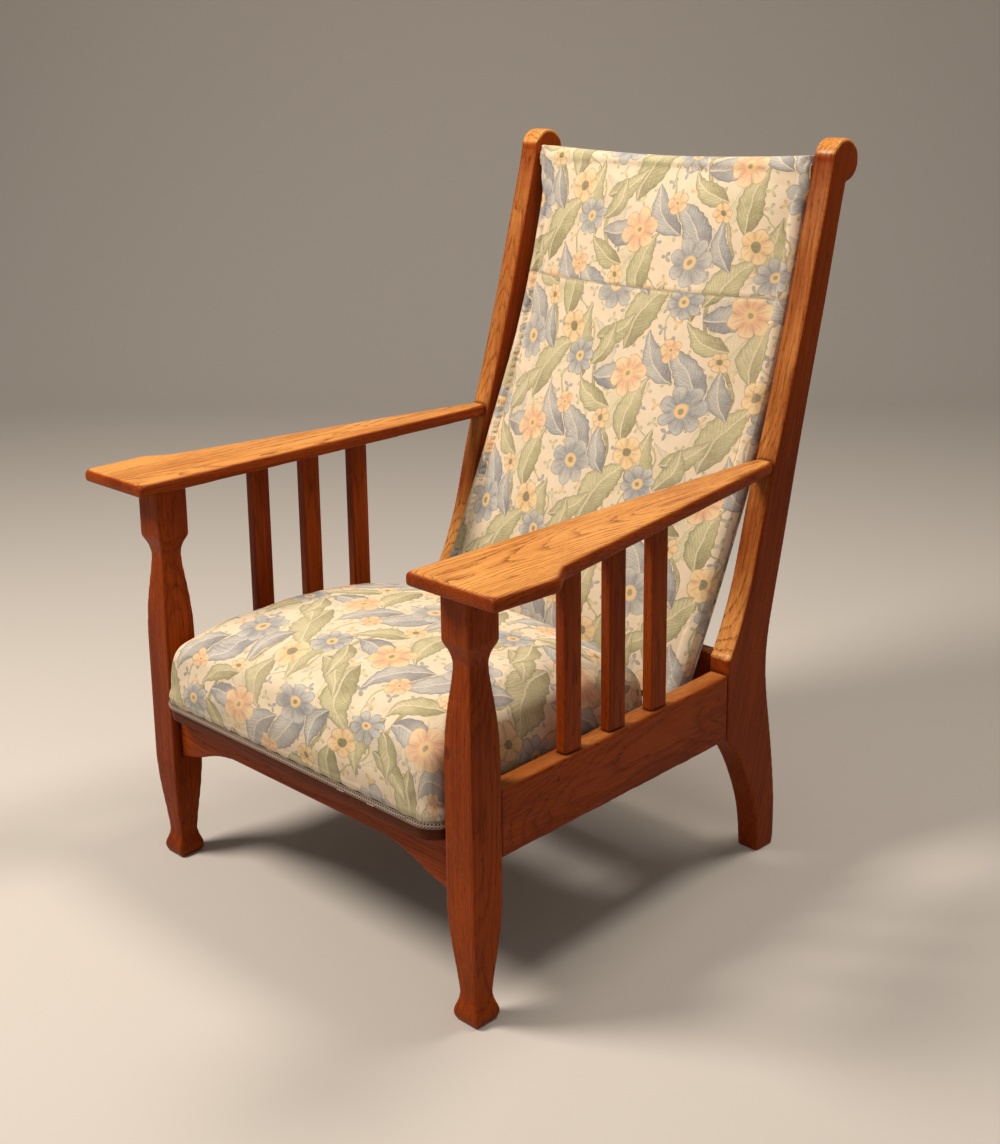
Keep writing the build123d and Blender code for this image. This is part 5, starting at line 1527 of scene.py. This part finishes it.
@dataclass
class Webbing:
    """Jute straps of the seat and the back, woven over and under, and the lining below the seat."""

    width: float = 0.050
    thick: float = 0.0013
    lift: float = 0.00085            # how far a strap lies off the middle at a crossing
    landing: float = 0.020           # the last stretch, which lies on the frame
    seat_middle: float = 0.2601
    back_behind: float = 0.0095      # middle of the back's straps behind its front edge
    seat_x: tuple[float, ...] = (-0.1888, -0.0944, 0.0, 0.0944, 0.1888)
    seat_y: tuple[float, ...] = (-0.3142, -0.2494, -0.1846, -0.1198, -0.0550)
    seat_ends: tuple[float, float] = (-0.3626, -0.0066)
    seat_half: float = 0.252
    back_x: tuple[float, ...] = (-0.1725, -0.0575, 0.0575, 0.1725)
    back_low: float = 0.355
    back_pitch: float = 0.0993
    back_rows: int = 7
    back_ends: tuple[float, float] = (0.306, 0.9759)
    back_half: float = 0.230
    lining_bottom: float = 0.2380
    lining_thick: float = 0.0007
    lining_sag: float = 0.0040

    def weave(self, along: np.ndarray, crossings: tuple[float, ...] | np.ndarray, turn: int) -> np.ndarray:
        """Return how far a strap lies off the middle.

        Args:
            along: places along the strap.
            crossings: where it meets the other straps.
            turn: 0 if it starts over, 1 if under.

        Returns:
            Distances, positive over.
        """
        index = np.interp(along, crossings, np.arange(len(crossings)))
        wave = np.clip(3.0 * np.cos(math.pi * (index + turn)), -1.0, 1.0)
        inside = (ramp(along, along[0], along[0] + self.landing)
                  * (1.0 - ramp(along, along[-1] - self.landing, along[-1])))
        return self.lift * (wave * inside - (1.0 - inside))

    def piece(self, name: str, node: str, body: str, strips: list[np.ndarray]) -> None:
        """Join straps into one piece.

        Args:
            name: its name.
            node: the node it stands for.
            body: what it rides on.
            strips: the straps' middles, as grids of points.
        """
        points, faces, count = [], [], 0
        for strip in strips:
            new_points, new_faces = slab(strip, self.thick)
            points.append(new_points)
            faces.append(new_faces + count)
            count += len(new_points)
        piece = Skin(np.concatenate(points), np.concatenate(faces), 0.005).make(name, {})
        Finish.WEBBING.dress(piece)
        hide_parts(node)
        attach(piece, body)

    def build(self) -> None:
        """Build the seat's and the back's straps, and the lining."""
        side = np.linspace(-self.width / 2, self.width / 2, 7)
        along = np.linspace(*self.seat_ends, 72)[:, None]
        self.piece("seat_straps_lengthwise", "seat_webbing_lengthwise", "sliding_seat", [
            grid(x - side, along, self.seat_middle + self.weave(along, self.seat_y, number % 2))
            for number, x in enumerate(self.seat_x)])
        along = np.linspace(-self.seat_half, self.seat_half, 96)[:, None]
        self.piece("seat_straps_crosswise", "seat_webbing_crosswise", "sliding_seat", [
            grid(along, y + side, self.seat_middle + self.weave(along, self.seat_x, number % 2 + 1))
            for number, y in enumerate(self.seat_y)])
        back = StuffedBack()
        rows = self.back_low + self.back_pitch * np.arange(self.back_rows)
        along = np.linspace(*self.back_ends, 130)[:, None]
        self.piece("back_straps_upright", "back_webbing_upright", "hinged_back", [
            grid(x + side, back.front(along) + self.back_behind - self.weave(along, rows, number % 2), along)
            for number, x in enumerate(self.back_x)])
        along = np.linspace(-self.back_half, self.back_half, 90)[:, None]
        self.piece("back_straps_level", "back_webbing_level", "hinged_back", [
            grid(along, back.front(z - side) + self.back_behind - self.weave(along, self.back_x, number % 2 + 1),
                 z - side)
            for number, z in enumerate(rows)])
        self.lining()

    def lining(self) -> None:
        """Build the cloth that is tacked below the seat frame, and sags behind the front rail's reach."""
        low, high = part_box("seat_under_cover")
        x, y = np.linspace(low.x, high.x, 61), np.linspace(low.y, high.y, 51)
        grid_y, grid_x = np.meshgrid(y, x, indexing="ij")
        across = 1.0 - (grid_x / high.x) ** 2
        rear = np.clip((grid_y - (low.y + 0.125)) / (high.y - low.y - 0.145), 0.0, 1.0)
        sag = self.lining_sag * across * np.sin(rear * math.pi) ** 2
        ripple = 0.0003 * np.sin(grid_x * 95.0) * np.sin(rear * math.pi) * across
        z = self.lining_bottom - self.lining_thick / 2 - sag - ripple
        points, faces = slab(grid(grid_x, grid_y, z), self.lining_thick)
        piece = Skin(points, faces, 0.008).make("under_lining", {})
        Finish.LINING.dress(piece)
        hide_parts("seat_under_cover")
        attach(piece, "sliding_seat")


# ------------------------------------------------------------------ trimmings
@dataclass
class Braid:
    """Gimp braid round the lower edge of the seat: two rows of loops between two cords."""

    low: float = 0.2564
    high: float = 0.2646
    loop_pitch: float = 0.0046
    loop_width: float = 0.0048
    cord: float = 0.00078
    stand: float = 0.0028            # how far the braid's middle stands off the frame

    def line(self, height: float, stand: float) -> bpy.types.Object:
        """Return a poly curve along the braid.

        Args:
            height: its height.
            stand: how far it stands off the frame.

        Returns:
            The curve object.
        """
        plan = np.array(SEAT_PLAN.line(LEG_FRONT + 0.4165))
        step = np.gradient(plan, axis=0)
        out = np.stack([step[:, 1], -step[:, 0]], axis=1)
        out /= np.linalg.norm(out, axis=1)[:, None]
        out *= np.sign((out * plan).sum(1))[:, None]
        plan = plan + out * stand
        curve = bpy.data.curves.new("braid_line", "CURVE")
        curve.dimensions = "3D"
        spline = curve.splines.new("POLY")
        spline.points.add(len(plan) - 1)
        for point, (x, y) in zip(spline.points, plan):
            point.co = (x, y, height, 1.0)
        return linked("braid_line", curve)

    def tree(self) -> bpy.types.NodeTree:
        """Build the node tree that loops a cord along a curve.

        Returns:
            The tree, with inputs for pitch, width and cord.
        """
        tree = bpy.data.node_groups.new("gimp_loops", "GeometryNodeTree")
        face = tree.interface
        face.new_socket(name="Geometry", in_out="INPUT", socket_type="NodeSocketGeometry")
        for name, value in (("Pitch", self.loop_pitch), ("Width", self.loop_width), ("Cord", self.cord),
                            ("Lean", 0.5)):
            socket = face.new_socket(name=name, in_out="INPUT", socket_type="NodeSocketFloat")
            socket.default_value = value
        face.new_socket(name="Geometry", in_out="OUTPUT", socket_type="NodeSocketGeometry")

        def add(kind: str, **settings: object) -> bpy.types.Node:
            """Add a node with its settings."""
            node = tree.nodes.new(kind)
            for key, value in settings.items():
                setattr(node, key, value)
            return node

        def link(a: bpy.types.NodeSocket, b: bpy.types.NodeSocket) -> None:
            """Join two sockets."""
            tree.links.new(a, b)

        enter, leave = add("NodeGroupInput"), add("NodeGroupOutput")
        ring, thread = add("GeometryNodeCurvePrimitiveCircle"), add("GeometryNodeCurvePrimitiveCircle")
        ring.inputs["Resolution"].default_value = 12
        thread.inputs["Resolution"].default_value = 5
        halve = add("ShaderNodeMath", operation="MULTIPLY")
        halve.inputs[1].default_value = 0.5
        link(enter.outputs["Width"], halve.inputs[0])
        link(halve.outputs[0], ring.inputs["Radius"])
        link(enter.outputs["Cord"], thread.inputs["Radius"])
        tube = add("GeometryNodeCurveToMesh")
        link(ring.outputs[0], tube.inputs["Curve"])
        link(thread.outputs[0], tube.inputs["Profile Curve"])
        shape = add("GeometryNodeTransform")
        shape.inputs["Scale"].default_value = (0.78, 1.0, 1.0)
        link(tube.outputs[0], shape.inputs["Geometry"])
        spaced = add("GeometryNodeResampleCurve", mode="LENGTH")
        link(enter.outputs["Geometry"], spaced.inputs["Curve"])
        link(enter.outputs["Pitch"], spaced.inputs["Length"])
        put = add("GeometryNodeInstanceOnPoints")
        link(spaced.outputs[0], put.inputs["Points"])
        link(shape.outputs[0], put.inputs["Instance"])
        tangent, up = add("GeometryNodeInputTangent"), add("FunctionNodeAlignRotationToVector", axis="X")
        link(tangent.outputs[0], up.inputs["Vector"])
        stand = add("FunctionNodeRotateRotation", rotation_space="LOCAL")
        tip = add("FunctionNodeAxisAngleToRotation")
        tip.inputs["Axis"].default_value = (1.0, 0.0, 0.0)
        quarter = add("ShaderNodeMath", operation="ADD")
        quarter.inputs[1].default_value = math.pi / 2
        link(enter.outputs["Lean"], quarter.inputs[0])
        link(quarter.outputs[0], tip.inputs["Angle"])
        link(up.outputs[0], stand.inputs[0])
        link(tip.outputs[0], stand.inputs[1])
        link(stand.outputs[0], put.inputs["Rotation"])
        real, dress = add("GeometryNodeRealizeInstances"), add("GeometryNodeSetMaterial")
        dress.inputs["Material"].default_value = Finish.BRAID.material
        link(put.outputs[0], real.inputs[0])
        link(real.outputs[0], dress.inputs["Geometry"])
        link(dress.outputs[0], leave.inputs["Geometry"])
        return tree

    def build(self) -> None:
        """Build the loops and cords as one plain mesh."""
        tree = self.tree()
        middle = (self.low + self.high) / 2
        spread = (self.high - self.low) / 4
        parts = []
        for height, lean in ((middle + spread, 0.30), (middle - spread, -0.30)):
            line = self.line(height, self.stand)
            modifier = line.modifiers.new("loops", "NODES")
            modifier.node_group = tree
            for item in tree.interface.items_tree:
                if item.item_type == "SOCKET" and item.in_out == "INPUT" and item.name == "Lean":
                    modifier[item.identifier] = lean
            parts.append(line)
        for share in (-0.75, -0.45, -0.15, 0.15, 0.45, 0.75):
            line = self.line(middle + share * (self.high - self.low) / 2, self.stand - 0.0012)
            line.data.bevel_depth = self.cord * 0.95
            line.data.bevel_resolution = 2
            parts.append(line)
        bpy.context.view_layer.update()
        whole = bmesh.new()
        for line in parts:
            mesh = settled(line)
            whole.from_mesh(mesh)
            bpy.data.meshes.remove(mesh)
            bpy.data.objects.remove(line)
        bmesh.ops.recalc_face_normals(whole, faces=whole.faces)
        mesh = bpy.data.meshes.new("seat_gimp")
        whole.to_mesh(mesh)
        whole.free()
        mesh.polygons.foreach_set("use_smooth", np.ones(len(mesh.polygons), bool))
        points = np.empty(len(mesh.vertices) * 3)
        mesh.vertices.foreach_get("co", points)
        out = SEAT_PLAN.outside(points.reshape(-1, 3))
        # painted shade: how far each point stands out, lighter where proud and darker where it lies back
        proud = mesh.attributes.new("proud", "FLOAT", "POINT")
        proud.data.foreach_set("value", ramp(out, self.stand - 0.0008, self.stand + 0.0009).astype(np.float32))
        piece = linked("seat_gimp", mesh)
        Finish.BRAID.dress(piece)
        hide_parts("seat_braid")
        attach(piece, "sliding_seat")
        log.info("%s: %d faces", piece.name, len(mesh.polygons))


@dataclass
class HiddenPieces:
    """The pieces that keep their solids: runners, inner frames and fittings."""

    finishes: tuple[tuple[str, Finish], ...] = (
        ("runner_screws", Finish.STEEL), ("runner_", Finish.TIMBER), ("rear_stop_", Finish.TIMBER),
        ("seat_rear_member", Finish.TIMBER), ("seat_side_member_", Finish.TIMBER), ("seat_guide_", Finish.TIMBER),
        ("back_stile_", Finish.TIMBER), ("back_bottom_rail", Finish.TIMBER), ("back_top_rail", Finish.TIMBER),
        ("pivot_bush_", Finish.BRONZE), ("thrust_washers", Finish.BRONZE), ("", Finish.STEEL))

    def build(self) -> None:
        """Dress each node that still shows."""
        for name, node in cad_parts.items():
            if node.hide_render:
                continue
            finish = next(f for start, f in self.finishes if name.startswith(start))
            finish.dress(node)
            log.info("%s keeps its solid", name)


# ------------------------------------------------------------------ studio
@dataclass(frozen=True)
class Lamp:
    """One soft round lamp."""

    name: str
    at: Place
    aim: Place
    size: float
    watts: float
    colour: Colour

    def hang(self) -> None:
        """Add the lamp to the scene."""
        light = bpy.data.lights.new(self.name, "AREA")
        light.shape = "DISK"
        light.size = self.size
        light.energy = self.watts
        light.color = self.colour
        lamp = linked(self.name, light)
        lamp.location = self.at
        lamp.rotation_euler = (Vector(self.aim) - Vector(self.at)).to_track_quat("-Z", "Y").to_euler()


@dataclass
class Studio:
    """Plain pale floor, soft lamps and the camera."""

    focal_px: float = 1595.3
    centre_px: tuple[float, float] = (540.0, 460.0)
    frame_px: tuple[float, float] = (1000.0, 1144.0)
    camera_at: Place = (1.6159, -1.1853 + LEG_FRONT, 1.1561)
    yaw: float = 44.225
    pitch: float = 13.890
    roll: float = -0.369
    lamps: tuple[Lamp, ...] = (
        Lamp("key", (-1.10, -1.70, 2.75), (0.0, -0.05, 0.45), 1.0, 100.0, (1.0, 0.905, 0.800)),
        Lamp("fill", (2.9, -1.5, 1.5), (0.0, 0.0, 0.5), 1.8, 4.5, (1.0, 0.900, 0.800)),
        Lamp("top", (0.6, 0.7, 3.0), (0.0, 0.1, 0.4), 1.0, 44.0, (1.0, 0.910, 0.810)),
    )
    world: float = 0.165
    world_colour: Colour = (1.0, 0.95, 0.90)
    floor_colour: Colour = (0.60, 0.557, 0.508)
    floor_near: float = -6.0
    floor_far: float = 3.2           # where it starts to sweep up
    sweep: float = 1.4               # the sweep's radius
    wall_top: float = 6.0
    floor_half: float = 7.0

    def build(self) -> None:
        """Build the floor, the lamps, the world and the camera."""
        self.floor()
        for lamp in self.lamps:
            lamp.hang()
        world = bpy.data.worlds.new("room")
        world.use_nodes = True
        background = world.node_tree.nodes["Background"]
        background.inputs[0].default_value = (*self.world_colour, 1.0)
        background.inputs[1].default_value = self.world
        bpy.context.scene.world = world
        self.camera()
        bpy.context.scene.view_settings.view_transform = "Standard"

    def floor(self) -> None:
        """Build a floor that sweeps up into a backdrop."""
        build = bmesh.new()
        profile = [(self.floor_near, 0.0), (self.floor_far, 0.0)]
        profile += [(self.floor_far + self.sweep * math.sin(a), self.sweep - self.sweep * math.cos(a))
                    for a in np.linspace(0, math.pi / 2, 17)[1:]]
        profile += [(self.floor_far + self.sweep, self.wall_top)]
        # the sweep stands square to the camera's view
        c, s = math.cos(math.radians(self.yaw)), math.sin(math.radians(self.yaw))
        rows = [[build.verts.new((x * c - y * s, x * s + y * c, z)) for x in (-self.floor_half, self.floor_half)]
                for y, z in profile]
        for low, high in zip(rows, rows[1:]):
            build.faces.new((low[0], low[1], high[1], high[0]))
        mesh = bpy.data.meshes.new("floor")
        build.to_mesh(mesh)
        build.free()
        mesh.polygons.foreach_set("use_smooth", np.ones(len(mesh.polygons), bool))
        floor = linked("floor", mesh)
        g = Graph("pale_floor")
        mesh.materials.append(g.finish(self.floor_colour, 0.85))

    def camera(self) -> None:
        """Build the camera at the viewing angle of the photograph."""
        a, b, r = (math.radians(v) for v in (self.yaw, self.pitch, self.roll))
        forward = Vector((-math.sin(a) * math.cos(b), math.cos(a) * math.cos(b), -math.sin(b)))
        side = Vector((math.cos(a), math.sin(a), 0.0))
        up = side.cross(forward)
        side, up = (side * math.cos(r) + up * math.sin(r)), (up * math.cos(r) - side * math.sin(r))
        turn = Matrix((side, up, -forward)).transposed()
        lens = bpy.data.cameras.new("camera")
        long_side = max(self.frame_px)
        lens.sensor_width = 36.0
        lens.lens = self.focal_px * lens.sensor_width / long_side
        lens.shift_x = -(self.centre_px[0] - self.frame_px[0] / 2) / long_side
        lens.shift_y = (self.centre_px[1] - self.frame_px[1] / 2) / long_side
        lens.clip_start, lens.clip_end = 0.05, 50.0
        camera = linked("camera", lens)
        camera.matrix_world = Matrix.Translation(self.camera_at) @ turn.to_4x4()
        bpy.context.scene.camera = camera


def main() -> None:
    """Build the chair's looks and the studio, and write down both boxes."""
    logging.basicConfig(level=logging.INFO, format="%(name)s: %(message)s")
    OakFrame().build()
    StuffedSeat().build()
    StuffedBack().build()
    Webbing().build()
    Braid().build()
    HiddenPieces().build()
    Studio().build()


if __name__ == "__main__":
    main()
